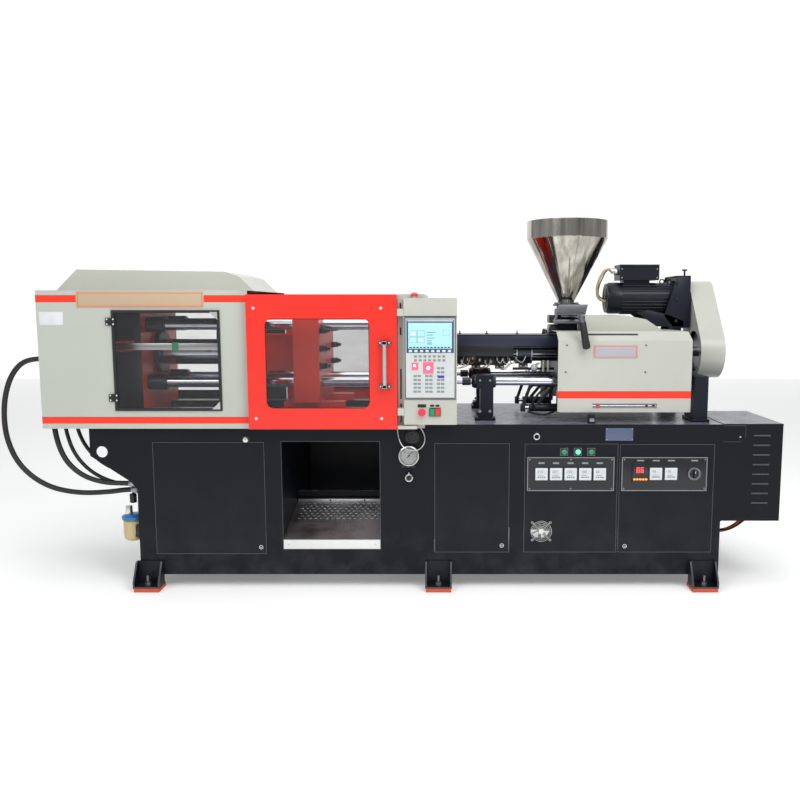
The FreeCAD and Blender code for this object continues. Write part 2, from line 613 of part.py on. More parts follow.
def hopper_base():
    """Throat block between the carriage and the hopper, with a slot for the shut-off slide."""
    x = FEED_X
    block = box((x - 62, x + 62), (-70, 70), (CARRIAGE_Z[1], BASE_FLANGE_TOP - 30))
    shelf = box((x - 82, x + 72), (-105, 90), (1546, 1578))
    flange = box((x - 68, x + 72), (-95, 95), (BASE_FLANGE_TOP - 14, BASE_FLANGE_TOP))
    collar = rod_z(x, 0, (BASE_FLANGE_TOP - 31, BASE_FLANGE_TOP - 1), 58)
    body = fused([block, shelf, flange, collar])
    body = body.cut(rod_z(x, 0, (CARRIAGE_Z[1] - 1, BASE_FLANGE_TOP + 1), THROAT_R))
    return body.cut(box(grown((x, x), SLIDE_HALF + GAP), (-120, 71), grown(SLIDE_Z, GAP)))


def hopper_slide():
    """Shut-off plate with a bent arm and a round grip; it stands partly open."""
    x = FEED_X
    plate = box((x - SLIDE_HALF, x + SLIDE_HALF), (-130, 60), SLIDE_Z)
    hole = rod_z(x, 0, grown(SLIDE_Z, 1), THROAT_R)
    arm = box((x + 4, x + 42), (-SLIDE_REACH, -129), SLIDE_Z)
    grip = Part.makeCylinder(16, 185, V(x + 22, -SLIDE_REACH + 4, SLIDE_Z[1]), V(0.18, -0.03, -1))
    return fused([plate.cut(hole), arm, grip])


def injection_hood():
    """Folded cover of the injection unit with a bevelled shoulder and a raised rear part."""
    low, shoulder, top = HOOD_Z
    y = HOOD_Y
    outline = [(-y, low), (-y, shoulder), (-y + HOOD_BEVEL, top), (y - HOOD_BEVEL, top), (y, shoulder), (y, low)]
    w = HOOD_WALL
    inner = [(-y + w, low - 1), (-y + w, shoulder - 1), (-y + HOOD_BEVEL + 1, top - w), (y - HOOD_BEVEL - 1, top - w),
             (y - w, shoulder - 1), (y - w, low - 1)]
    length = V(HOOD_X[1] - HOOD_X[0], 0, 0)
    skin = prism([V(HOOD_X[0], a, b) for a, b in outline], length)
    skin = skin.cut(prism([V(HOOD_X[0] - 1, a, b) for a, b in inner], length + V(2, 0, 0)))
    rx, ry, rz = HOOD_RAISED_X, HOOD_RAISED_Y, HOOD_RAISED_TOP
    raised = [(rx[0], top - 1), (rx[0], rz), (rx[1] - 230, rz), (rx[1] - 110, rz - 22), (rx[1], top - 1)]
    hollow = [(rx[0] + w, top - 3), (rx[0] + w, rz - w), (rx[1] - 231, rz - w), (rx[1] - 111, rz - 24), (rx[1] - 4, top - 3)]
    hump = prism([V(a, ry[0], b) for a, b in raised], V(0, ry[1] - ry[0], 0))
    cavity = prism([V(a, ry[0] + w, b) for a, b in hollow], V(0, ry[1] - ry[0] - 2 * w, 0))
    hood = fused([skin, hump]).cut(cavity)
    hood = hood.cut(box((HOOD_X[0] - 1, FEED_X + 64), (-112, 96), (top - 20, top + 5)))
    hood = hood.cut(box(HOOD_SLOT_X, (-y - 1, -y + w + 1), HOOD_SLOT_Z))
    hangers = both_sides(box((CARRIAGE_FRONT[0] + 10, CARRIAGE_FRONT[0] + 50), (CARRIAGE_Y, y - 1), (1350, 1353)))
    rear = [h.translated(V(CARRIAGE_REAR[0] - CARRIAGE_FRONT[0], 0, 0)) for h in hangers]
    return fused([hood] + hangers + rear)


def belt_outline(extra_big, extra_small, x):
    """Face around both pulleys: two arcs joined by the tangents that touch them."""
    big_y, big_z, big_r = 0.0, AXIS_Z, extra_big
    dy, dz = MOTOR_Y - big_y, MOTOR_Z - big_z
    distance = math.hypot(dy, dz)
    lean = math.atan2(dz, dy)
    spread = math.acos((big_r - extra_small) / distance)

    def at(centre, radius, angle):
        return V(x, centre[0] + radius * math.cos(angle), centre[1] + radius * math.sin(angle))

    big, small = (big_y, big_z), (MOTOR_Y, MOTOR_Z)
    a0, a1 = lean + spread, lean - spread
    arcs = [Part.Arc(at(big, big_r, a0), at(big, big_r, lean + math.pi), at(big, big_r, a1)).toShape(),
            Part.LineSegment(at(big, big_r, a1), at(small, extra_small, a1)).toShape(),
            Part.Arc(at(small, extra_small, a1), at(small, extra_small, lean), at(small, extra_small, a0)).toShape(),
            Part.LineSegment(at(small, extra_small, a0), at(big, big_r, a0)).toShape()]
    return Part.Face(Part.Wire(arcs))


def belt_body(big, small, x):
    """Solid between two planes with the belt's outline."""
    return belt_outline(big, small, x[0]).extrude(V(x[1] - x[0], 0, 0))


def drive_belt():
    """Endless belt that lies just clear of both pulleys."""
    x = grown(PULLEY_X, -6)
    outer = belt_body(SCREW_PULLEY_R + GAP + BELT, MOTOR_PULLEY_R + GAP + BELT, x)
    return outer.cut(belt_body(SCREW_PULLEY_R + GAP, MOTOR_PULLEY_R + GAP, grown(x, 1)))


def belt_guard():
    """Deep cover around the belt on two spacers from the motor bracket."""
    w = GUARD_WALL
    shell = belt_body(GUARD_BIG_R, GUARD_SMALL_R, GUARD_X)
    shell = shell.cut(belt_body(GUARD_BIG_R - w, GUARD_SMALL_R - w, grown(GUARD_X, -w)))
    shell = shell.cut(rod_x((GUARD_X[0] - 1, GUARD_X[0] + w + 1), 0, AXIS_Z, 130))
    shell = shell.cut(rod_x((GUARD_X[0] - 1, GUARD_X[0] + w + 1), MOTOR_Y, MOTOR_Z, MOTOR_SHAFT_R + 12))
    spacers = [rod_x((BRACKET_X[1], GUARD_X[0] + 1), y, z, 10) for y, z in ((262, 1752), (128, 1640))]
    return fused([shell] + spacers)


def motor_bracket():
    """Upright plate with gussets that carries the motor on the carriage."""
    y = (65, 335)
    plate = box(BRACKET_X, y, (1420, 1838))
    foot = box((CARRIAGE_REAR[0], BRACKET_X[0] + 1), y, (CARRIAGE_Z[1], CARRIAGE_Z[1] + 18))
    gusset = prism([V(HOOD_X[1] + 4, y[0], 1485), V(BRACKET_X[0] + 1, y[0], 1485), V(BRACKET_X[0] + 1, y[0], 1600)],
                   V(0, 10, 0))
    body = fused([plate, foot, gusset, gusset.translated(V(0, y[1] - y[0] - 10, 0))])
    return body.cut(rod_x(grown(BRACKET_X, 1), MOTOR_Y, MOTOR_Z, MOTOR_SHAFT_R + 6))


def drive_motor():
    """Motor body with its end cap, terminal box and a bore for the shaft."""
    body = rod_x((MOTOR_X[0] + 20, MOTOR_X[1]), MOTOR_Y, MOTOR_Z, MOTOR_R)
    cap = rod_x((MOTOR_X[0], MOTOR_X[0] + 21), MOTOR_Y, MOTOR_Z, MOTOR_R - 6)
    neck = box((1330, 1500), (MOTOR_Y - 50, MOTOR_Y + 50), (MOTOR_Z + MOTOR_R - 25, MOTOR_Z + MOTOR_R + 16))
    terminals = box((1298, 1552), (MOTOR_Y - 85, MOTOR_Y + 85), (MOTOR_Z + MOTOR_R + 15, 1919))
    body = fused([body, cap, neck, terminals])
    return body.cut(rod_x((MOTOR_X[1] - 80, MOTOR_X[1] + 1), MOTOR_Y, MOTOR_Z, MOTOR_SHAFT_R + RUN))


def motor_pulley():
    """Small pulley on the motor's shaft."""
    shaft = rod_x((MOTOR_X[1] - 75, PULLEY_X[0] + 1), MOTOR_Y, MOTOR_Z, MOTOR_SHAFT_R)
    return fused([shaft, rod_x(PULLEY_X, MOTOR_Y, MOTOR_Z, MOTOR_PULLEY_R)])


# ---- control panel -------------------------------------------------------------------------------
def control_panel():
    """Shallow sheet housing, open at the back, with holes for the button stems."""
    tray = box(PANEL_X, PANEL_Y, PANEL_Z)
    tray = tray.cut(box(grown(PANEL_X, -PANEL_WALL), (PANEL_Y[0] + PANEL_WALL, PANEL_Y[1] + 1),
                        grown(PANEL_Z, -PANEL_WALL)))
    for x in (STOP_X, START_X, HALT_X):
        tray = tray.cut(rod_y(x, (PANEL_Y[0] - 1, PANEL_Y[0] + PANEL_WALL + 1), BUTTON_Z, STEM_R + RUN))
    return tray


def square_button(x):
    """Oblong push button on a round stem."""
    face = PANEL_Y[0]
    cap = box((x - 13, x + 13), (face - 14, face - 6), (BUTTON_Z - 20, BUTTON_Z + 20))
    return fused([cap, rod_y(x, (face - 7, face + 14), BUTTON_Z, STEM_R)])


def stop_button():
    """Mushroom button on a round stem."""
    face = PANEL_Y[0]
    head = rod_y(STOP_X, (face - 28, face - 14), BUTTON_Z, 22)
    neck = rod_y(STOP_X, (face - 15, face + 14), BUTTON_Z, STEM_R)
    return fused([head.makeFillet(6, [head.Edges[0]]), neck])


# ---- hoses ---------------------------------------------------------------------------------------
HOSES = {
    "outer_hose": (HOSE_D, [(COVER_LEFT - 6, -440, OUTER_HOSE_EXIT_Z), (-2226, -440, OUTER_HOSE_EXIT_Z),
                            (-2304, -443, 1312), (-2366, -446, 1212), (-2400, -449, 1060), (-2394, -450, 880),
                            (-2325, -448, 715), (-2180, -446, 598), (-2000, -443, 556), (-1815, -441, 562),
                            (-1710, -440, 578), (BED_LEFT - 26, -440, 578)]),
    "front_hose": (HOSE_D, [(-2102, -470, MANIFOLD[2][0] - 24), (-2102, -470, 1050), (-2094, -471, 900),
                            (-2048, -472, 760), (-1952, -473, 668), (-1835, -473, 628), (-1725, -472, 622),
                            (BED_LEFT - 26, -472, 622)]),
    "middle_hose": (SMALL_HOSE_D, [(-2066, -420, MANIFOLD[2][0] - 24), (-2066, -420, 1060), (-2057, -419, 920),
                                   (-2014, -417, 780), (-1922, -414, 675), (-1808, -412, 618), (-1710, -412, 603),
                                   (BED_LEFT - 26, -412, 603)]),
    "inner_hose": (SMALL_HOSE_D, [(-2030, -360, MANIFOLD[2][0] - 24), (-2030, -360, 1065), (-2018, -361, 930),
                                  (-1970, -362, 815), (-1884, -362, 725), (-1780, -361, 672), (-1695, -360, 652),
                                  (BED_LEFT - 26, -360, 652)]),
}


def tube(points, diameter, name):
    """Straight runs joined by tangent arcs as large as both runs allow."""
    points = [V(*p) for p in points]
    edges = []
    start = points[0]
    length = 0.0
    radii = []
    for before, corner, after in zip(points, points[1:], points[2:]):
        into = (corner - before).normalize()
        out = (after - corner).normalize()
        shorter = min((corner - before).Length, (after - corner).Length)
        turn = into.getAngle(out)
        cut = 0.45 * shorter
        radii.append(cut / math.tan(turn / 2))
        enter, leave = corner - into * cut, corner + out * cut
        bisector = (out - into).normalize()
        centre = corner + bisector * math.hypot(radii[-1], cut)
        middle = centre + (corner - centre).normalize() * radii[-1]
        edges.append(Part.LineSegment(start, enter).toShape())
        edges.append(Part.Arc(enter, middle, leave).toShape())
        length += (enter - start).Length + radii[-1] * turn
        start = leave
    edges.append(Part.LineSegment(start, points[-1]).toShape())
    length += (points[-1] - start).Length
    path = Part.Wire(edges)
    ring = Part.Wire(Part.makeCircle(diameter / 2, points[0], points[1] - points[0]))
    solid = Part.Wire(path).makePipeShell([ring], True, False)
    expected = math.pi * (diameter / 2) ** 2 * length
    print(f"{name}: length {length:.0f} mm, radii {[round(r) for r in radii]}, volume ratio "
          f"{solid.Volume / expected:.4f}")
    return solid


def hose_fittings():
    """Manifold block under the clamp cylinder and a fitting at each end of every hose."""
    fittings = [box(*MANIFOLD).cut(rod_x((-2200, -1600), 0, AXIS_Z, CYLINDER_R + 0.2))]
    for diameter, points in HOSES.values():
        first, last = V(*points[0]), V(*points[-1])
        if first.x < COVER_LEFT:
            fittings.append(rod_x((COVER_LEFT - 6, COVER_LEFT + 40), first.y, first.z, diameter / 2 + 5.5))
        else:
            fittings.append(rod_z(first.x, first.y, (first.z, MANIFOLD[2][0]), diameter / 2 + 5))
        fittings.append(rod_x((last.x, BED_LEFT), last.y, last.z, diameter / 2 + 6))
    return fittings


# ---- all nodes -----------------------------------------------------------------------------------
os.makedirs("parts", exist_ok=True)

save("bed_frame", bed_frame())
save("foot_brackets", *[b for x in FOOT_X for b in both_sides(foot_bracket(x))])
save("foot_pads", *[p for x in FOOT_X for p in both_sides(foot_pad(x))])
save("drop_chute", drop_chute())
save("service_door", door(SERVICE_DOOR))
save("middle_door", door(MIDDLE_DOOR))
save("heater_door", heater_door())
save("fan_rotor", fan_rotor())
save("heater_panel", *heater_panel())
DRIVE_FACE = -HALF_BED - DOOR_PROUD
save("drive_door", door(DRIVE_DOOR).cut(rod_y(SELECTOR_X, (DRIVE_FACE - 1, DRIVE_FACE + 4), INSTRUMENT_Z, STEM_R + RUN)))
save("selector_switch", selector_switch())
save("pressure_gauge", *pressure_gauge())
save("gauge_needle", gauge_needle())
save("side_cabinet", side_cabinet())

save("clamp_cover", clamp_cover())
save("roof_cover", roof_cover())
save("clamp_window", clamp_window())
save("window_pane", window_pane())
save("gate_frame", gate_frame())
save("front_gate", gate())
save("front_gate_pane", gate_pane())
save("front_gate_handle", *gate_handle())
save("rear_gate", mirrored(gate()))
save("rear_gate_pane", mirrored(gate_pane()))
save("rear_gate_handle", *[mirrored(s) for s in gate_handle()])

save("rear_platen", rear_platen())
save("fixed_platen", fixed_platen())
save("tie_bars", *[rod_x((REAR_PLATEN[0] - 60, FIXED_PLATEN[1] + 60), y, z, TIE_R) for y, z in tie_positions()])
save("tie_bar_nuts", *[nut(x, y, z) for y, z in tie_positions()
                       for x in ((REAR_PLATEN[0] - 50, REAR_PLATEN[0]), (FIXED_PLATEN[1], FIXED_PLATEN[1] + 50))])
save("clamp_cylinder", clamp_cylinder())
save("moving_platen", moving_platen())
save("clamp_ram", rod_x((-2000, RAM_PLATE[0]), 0, AXIS_Z, RAM_R))
save("ejector", ejector())

save("rod_columns", *rod_columns())
save("guide_rods", *both_sides(guide_rod()))
save("carriage", carriage())
save("barrel", barrel())
save("heater_bands", *[heater_band(170 + BAND_PITCH * i) for i in range(BAND_COUNT)])
save("barrel_cover", barrel_cover())
save("screw", screw())
save("screw_pulley", rod_x(PULLEY_X, 0, AXIS_Z, SCREW_PULLEY_R))
save("hopper", hopper())
save("hopper_base", hopper_base())
save("hopper_slide", hopper_slide())
save("injection_hood", injection_hood())
save("drive_motor", drive_motor())
save("motor_bracket", motor_bracket())
save("motor_pulley", motor_pulley())
save("drive_belt", drive_belt())
save("belt_guard", belt_guard())

save("control_panel", control_panel())
save("panel_screen", box(SCREEN_X, (PANEL_Y[0] - SCREEN_THICK, PANEL_Y[0]), SCREEN_Z))
save("stop_button", stop_button())
save("start_button", square_button(START_X))
save("halt_button", square_button(HALT_X))

save("hose_fittings", *hose_fittings())
for hose, (thickness, route) in HOSES.items():
    save(hose, tube(route, thickness, hose))
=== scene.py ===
"""Looks of the injection moulding machine, built around its fixed frame.

Metres, +X to the injection end, +Y to the back, +Z up. Each class holds one sub-assembly's sizes,
builds its pieces and dresses them. Sizes that the frame gives are read from it.
"""

import logging
import math
import random
from dataclasses import dataclass, field
from enum import Enum
from typing import Iterable, Optional, Sequence

import bmesh
import bpy
from mathutils import Matrix, Vector


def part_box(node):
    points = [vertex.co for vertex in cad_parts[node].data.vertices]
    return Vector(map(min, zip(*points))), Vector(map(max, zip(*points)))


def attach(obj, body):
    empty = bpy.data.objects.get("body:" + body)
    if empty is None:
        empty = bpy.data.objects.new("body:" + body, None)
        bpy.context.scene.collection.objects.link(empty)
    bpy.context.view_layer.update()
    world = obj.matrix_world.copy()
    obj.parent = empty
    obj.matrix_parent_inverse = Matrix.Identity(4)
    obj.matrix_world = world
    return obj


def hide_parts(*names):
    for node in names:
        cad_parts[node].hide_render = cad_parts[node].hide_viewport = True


logging.basicConfig(level=logging.INFO, format="%(name)s: %(message)s")
LOG = logging.getLogger("machine")
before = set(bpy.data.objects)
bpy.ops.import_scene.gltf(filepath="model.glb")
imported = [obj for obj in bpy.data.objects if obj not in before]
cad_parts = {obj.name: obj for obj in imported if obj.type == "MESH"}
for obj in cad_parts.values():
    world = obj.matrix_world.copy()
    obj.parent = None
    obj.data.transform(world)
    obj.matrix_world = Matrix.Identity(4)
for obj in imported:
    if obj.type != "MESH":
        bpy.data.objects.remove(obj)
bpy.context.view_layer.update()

BED_FRONT, BED_BACK = -0.5, 0.5     # faces of the bed's side sheets
DECK_TOP = 0.975                        # top of the bed's deck
PORTAL_FRONT = -0.532                   # front face of the portal beside the gate
SIDES = (-1, 1)                         # front and back

Point = Sequence[float]
Colour = tuple[float, float, float]


class Body(str, Enum):
    """Bodies that the pieces ride on."""

    BED = "machine_bed"
    SERVICE_DOOR = "service_door"
    MIDDLE_DOOR = "middle_door"
    HEATER_DOOR = "heater_door"
    DRIVE_DOOR = "drive_door"
    WINDOW = "clamp_window"
    FRONT_GATE = "front_gate"
    REAR_GATE = "rear_gate"
    PLATEN = "moving_platen"
    EJECTOR = "ejector"
    CARRIAGE = "carriage"
    PANEL = "control_panel"
    SELECTOR = "selector_switch"
    SLIDE = "hopper_slide"


# ---- shader maths ------------------------------------------------------------------------------
class Sock:
    """A node socket that takes part in Python arithmetic."""

    def __init__(self, finish: "NodeTree", socket: bpy.types.NodeSocket) -> None:
        """Wrap one output socket.

        Args:
            finish: the tree that new nodes go into.
            socket: the output to wrap.
        """
        self.finish = finish
        self.socket = socket

    def math(self, operation: str, other: "Sock | float", swap: bool = False) -> "Sock":
        """Combine with a number or a socket through one Math node.

        Args:
            operation: name of the Math node's operation.
            other: the second operand.
            swap: whether the operands change places.

        Returns:
            The result's socket.
        """
        values = [self, other]
        if swap:
            values.reverse()
        return self.finish.node("ShaderNodeMath", {"operation": operation}, {0: values[0], 1: values[1]})

    def __add__(self, other: "Sock | float") -> "Sock":
        """Sum."""
        return self.math("ADD", other)

    __radd__ = __add__

    def __sub__(self, other: "Sock | float") -> "Sock":
        """Difference."""
        return self.math("SUBTRACT", other)

    def __rsub__(self, other: "Sock | float") -> "Sock":
        """Difference with the operands swapped."""
        return self.math("SUBTRACT", other, swap=True)

    def __mul__(self, other: "Sock | float") -> "Sock":
        """Product."""
        return self.math("MULTIPLY", other)

    __rmul__ = __mul__

    def above(self, edge: float, width: float) -> "Sock":
        """A soft step from 0 to 1 at an edge.

        Args:
            edge: value in the middle of the step.
            width: how wide the step is.

        Returns:
            The mask's socket.
        """
        scaled = (self - (edge - width / 2)) * (1 / width)
        return scaled.math("MAXIMUM", 0.0).math("MINIMUM", 1.0)


class NodeTree:
    """One material's node tree, written through a single node method."""

    def __init__(self, name: str) -> None:
        """Start an empty material.

        Args:
            name: the material's name.
        """
        self.material = bpy.data.materials.new(name)
        self.material.use_nodes = True
        self.tree = self.material.node_tree
        self.tree.nodes.clear()
        self.coords: Optional[Sock] = None

    def node(self, kind: str, settings: dict, sockets: dict, output: int | str = 0) -> Sock:
        """Add a node.

        Args:
            kind: the node's type.
            settings: properties that are set first.
            sockets: values or links of the inputs.
            output: which output is returned.

        Returns:
            The chosen output's socket.
        """
        made = self.tree.nodes.new(kind)
        for key, value in settings.items():
            setattr(made, key, value)
        for key, value in sockets.items():
            if isinstance(value, Sock):
                self.tree.links.new(value.socket, made.inputs[key])
            else:
                made.inputs[key].default_value = value
        return Sock(self, made.outputs[output])

    def place(self, scale: Point = (1, 1, 1)) -> Sock:
        """Object coordinates, stretched.

        Args:
            scale: factor on each axis.

        Returns:
            The coordinates' socket.
        """
        if self.coords is None:
            self.coords = self.node("ShaderNodeTexCoord", {}, {}, "Object")
        return self.node("ShaderNodeMapping", {}, {"Vector": self.coords, "Scale": tuple(scale)})

    def noise(self, scale: float, detail: float = 3.0, stretch: Point = (1, 1, 1)) -> Sock:
        """Noise between 0 and 1.

        Args:
            scale: cells in a metre.
            detail: octaves.
            stretch: factor on each axis.

        Returns:
            The noise's socket.
        """
        return self.node("ShaderNodeTexNoise", {}, {"Vector": self.place(stretch), "Scale": scale, "Detail": detail,
                                                    "Roughness": 0.55})

    def axis(self, name: str, source: str = "ShaderNodeTexCoord", output: str = "Object") -> Sock:
        """One component of a vector output.

        Args:
            name: X, Y or Z.
            source: node that gives the vector.
            output: its output.

        Returns:
            The component's socket.
        """
        return self.node("ShaderNodeSeparateXYZ", {}, {0: self.node(source, {}, {}, output)}, name)

    def mix(self, factor: "Sock | float", first: "Sock | Colour", second: "Sock | Colour") -> Sock:
        """Blend two colours.

        Args:
            factor: 0 gives the first, 1 the second.
            first: a colour or a socket.
            second: a colour or a socket.

        Returns:
            The blended colour's socket.
        """
        ends = [(*c, 1.0) if isinstance(c, tuple) else c for c in (first, second)]
        return self.node("ShaderNodeMix", {"data_type": "RGBA"}, {0: factor, 6: ends[0], 7: ends[1]}, 2)

    def bump(self, height: Sock, strength: float, distance: float) -> Sock:
        """A normal from a height.

        Args:
            height: the height's socket.
            strength: strength of the effect.
            distance: depth in metres.

        Returns:
            The normal's socket.
        """
        return self.node("ShaderNodeBump", {}, {"Height": height, "Strength": strength, "Distance": distance})

    def surface(self, **sockets: "Sock | float | tuple") -> bpy.types.Material:
        """Finish the tree with a Principled shader.

        Args:
            sockets: inputs by name, with underscores for spaces.

        Returns:
            The finished material.
        """
        named = {key.replace("_", " "): value for key, value in sockets.items()}
        shader = self.node("ShaderNodeBsdfPrincipled", {}, named)
        self.node_output(shader)
        return self.material

    def node_output(self, shader: Sock) -> None:
        """Link a shader to the material's output."""
        out = self.tree.nodes.new("ShaderNodeOutputMaterial")
        self.tree.links.new(shader.socket, out.inputs["Surface"])


def shade(colour: Colour, factor: float) -> Colour:
    """A lighter or darker colour."""
    return tuple(min(1.0, c * factor) for c in colour)


@dataclass(frozen=True)
class CoatedSheet:
    """Sprayed coat on steel: fine orange peel, slow colour drift, dust that gathers low down."""

    name: str
    colour: Colour
    roughness: float = 0.35
    coat: float = 0.25
    peel: float = 0.12
    drift: float = 0.12
    dust: float = 0.0
    specular: float = 0.4

    def make(self) -> bpy.types.Material:
        """Build the material."""
        tree = NodeTree(self.name)
        slow = tree.noise(1.7, 4.0)
        fine = tree.noise(900.0, 1.0)
        colour = tree.mix(slow, shade(self.colour, 1 - self.drift), shade(self.colour, 1 + self.drift))
        if self.dust:
            low = 1.0 - tree.axis("Z").above(0.35, 0.7)
            patches = tree.noise(6.0, 6.0).above(0.5, 0.35)
            colour = tree.mix(low * patches * self.dust, colour, (0.3, 0.28, 0.25))
        rough = self.roughness - 0.05 + 0.12 * tree.noise(14.0, 5.0)
        return tree.surface(Base_Color=colour, Roughness=rough, Coat_Weight=self.coat, Coat_Roughness=0.18,
                            Specular_IOR_Level=self.specular, Normal=tree.bump(fine, self.peel, 0.0004))


@dataclass(frozen=True)
class CoverLining:
    """Pale coat of the clamp cover, with near-black painted shade on its inner faces."""

    name: str = "cover_with_inner_shade"
    colour: Colour = (0.47, 0.5, 0.445)
    lining: Colour = (0.008, 0.009, 0.01)

    def make(self) -> bpy.types.Material:
        """Build the material."""
        tree = NodeTree(self.name)
        across = tree.axis("Y")
        outside = across.above(0.5285, 0.001) + (0.0 - across).above(0.5285, 0.001)
        outside = outside + tree.axis("Z").above(1.7415, 0.001) + (0.0 - tree.axis("X")).above(2.1335, 0.001)
        outside = outside.math("MINIMUM", 1.0)
        slow = tree.noise(1.3, 4.0)
        pale = tree.mix(slow, shade(self.colour, 0.88), shade(self.colour, 1.1))
        rough = 0.34 + 0.12 * tree.noise(14.0, 5.0) + (1.0 - outside) * 0.25
        # faces inside the cover take the near-black painted shade; only the outer faces keep the pale coat
        return tree.surface(Base_Color=tree.mix(outside, self.lining, pale), Roughness=rough, Coat_Weight=0.05,
                            Specular_IOR_Level=0.35, Normal=tree.bump(tree.noise(900.0, 1.0), 0.12, 0.0004))


@dataclass(frozen=True)
class BedCoat:
    """Dark satin coat of the bed, whose deck is rubbed and oily, with lighter grey streaks on its upward faces that
    are partly real wear and partly painted reflection.
    """

    name: str = "bed_coat"
    colour: Colour = (0.0042, 0.0052, 0.0085)
    # lighter grey for the upward faces: painted reflection together with real oily wear
    deck: Colour = (0.17, 0.18, 0.225)

    def make(self) -> bpy.types.Material:
        """Build the material."""
        tree = NodeTree(self.name)
        upward = tree.axis("Z", "ShaderNodeNewGeometry", "Normal").above(0.8, 0.2)
        streaks = tree.noise(9.0, 8.0, (1.0, 3.0, 1.0)).above(0.48, 0.25)
        smears = tree.noise(30.0, 6.0, (0.6, 2.5, 1.0)).above(0.52, 0.2)
        # upward faces mix towards the deck grey in streaks: partly real oily wear, partly painted reflection
        rub_and_sheen = upward * (0.45 + 0.55 * streaks)
        side = tree.mix(tree.noise(2.2, 5.0), shade(self.colour, 0.85), shade(self.colour, 1.25))
        dusty = (1.0 - tree.axis("Z").above(0.22, 0.4)) * tree.noise(11.0, 6.0).above(0.55, 0.3) * 0.1
        side = tree.mix(dusty, side, (0.22, 0.21, 0.19))
        colour = tree.mix(rub_and_sheen, side, self.deck)
        rough = 0.38 + 0.14 * tree.noise(20.0, 5.0) - upward * (0.1 + 0.12 * smears)
        peel = tree.noise(700.0, 1.0) + upward * tree.noise(60.0, 4.0) * 0.6
        return tree.surface(Base_Color=colour, Roughness=rough, Coat_Weight=0.02, Coat_Roughness=0.25,
                            Specular_IOR_Level=0.2, Normal=tree.bump(peel, 0.15, 0.0005))


@dataclass(frozen=True)
class Metal:
    """Bare or plated metal with a directional lay and small smudges; wide dark and light limits turn the lay into
    painted reflection bands.
    """

    name: str
    colour: Colour
    roughness: float = 0.2
    lay: Point = (1.0, 1.0, 60.0)
    depth: float = 0.05
    smudge: float = 0.08
    dark: float = 0.88
    light: float = 1.08

    def make(self) -> bpy.types.Material:
        """Build the material."""
        tree = NodeTree(self.name)
        lines = tree.noise(40.0, 3.0, self.lay)
        marks = tree.noise(9.0, 6.0).above(0.5, 0.4)
        colour = tree.mix(lines, shade(self.colour, self.dark), shade(self.colour, self.light))
        rough = self.roughness + self.smudge * marks
        return tree.surface(Base_Color=colour, Metallic=1.0, Roughness=rough,
                            Normal=tree.bump(lines, self.depth, 0.0003))


@dataclass(frozen=True)
class Plastic:
    """Moulded plastic or rubber with a fine grain."""

    name: str
    colour: Colour
    roughness: float = 0.45
    grain: float = 0.15
    scale: float = 1500.0

    def make(self) -> bpy.types.Material:
        """Build the material."""
        tree = NodeTree(self.name)
        colour = tree.mix(tree.noise(25.0, 4.0), shade(self.colour, 0.9), shade(self.colour, 1.1))
        rough = self.roughness - 0.04 + 0.08 * tree.noise(60.0, 4.0)
        return tree.surface(Base_Color=colour, Roughness=rough,
                            Normal=tree.bump(tree.noise(self.scale, 2.0), self.grain, 0.0002))


@dataclass(frozen=True)
class Lit:
    """A part that glows: a lens, a digit or a screen."""

    name: str
    colour: Colour
    strength: float = 2.0

    def make(self) -> bpy.types.Material:
        """Build the material."""
        tree = NodeTree(self.name)
        glow = tree.mix(tree.noise(80.0, 2.0), shade(self.colour, 0.85), self.colour)
        return tree.surface(Base_Color=(*shade(self.colour, 0.6), 1.0), Roughness=0.2, Emission_Color=glow,
                            Emission_Strength=self.strength)


@dataclass(frozen=True)
class ClearSheet:
    """Clear pane with a faint tint and light wipe marks."""

    name: str = "clear_pane"
    tint: Colour = (0.1, 0.1, 0.105)
    alpha: float = 0.16

    def make(self) -> bpy.types.Material:
        """Build the material."""
        tree = NodeTree(self.name)
        marks = tree.noise(5.0, 5.0, (1.0, 1.0, 2.5)).above(0.55, 0.3)
        return tree.surface(Base_Color=(*self.tint, 1.0), Roughness=0.04 + 0.05 * marks,
                            Alpha=self.alpha + 0.05 * marks, Specular_IOR_Level=0.35)


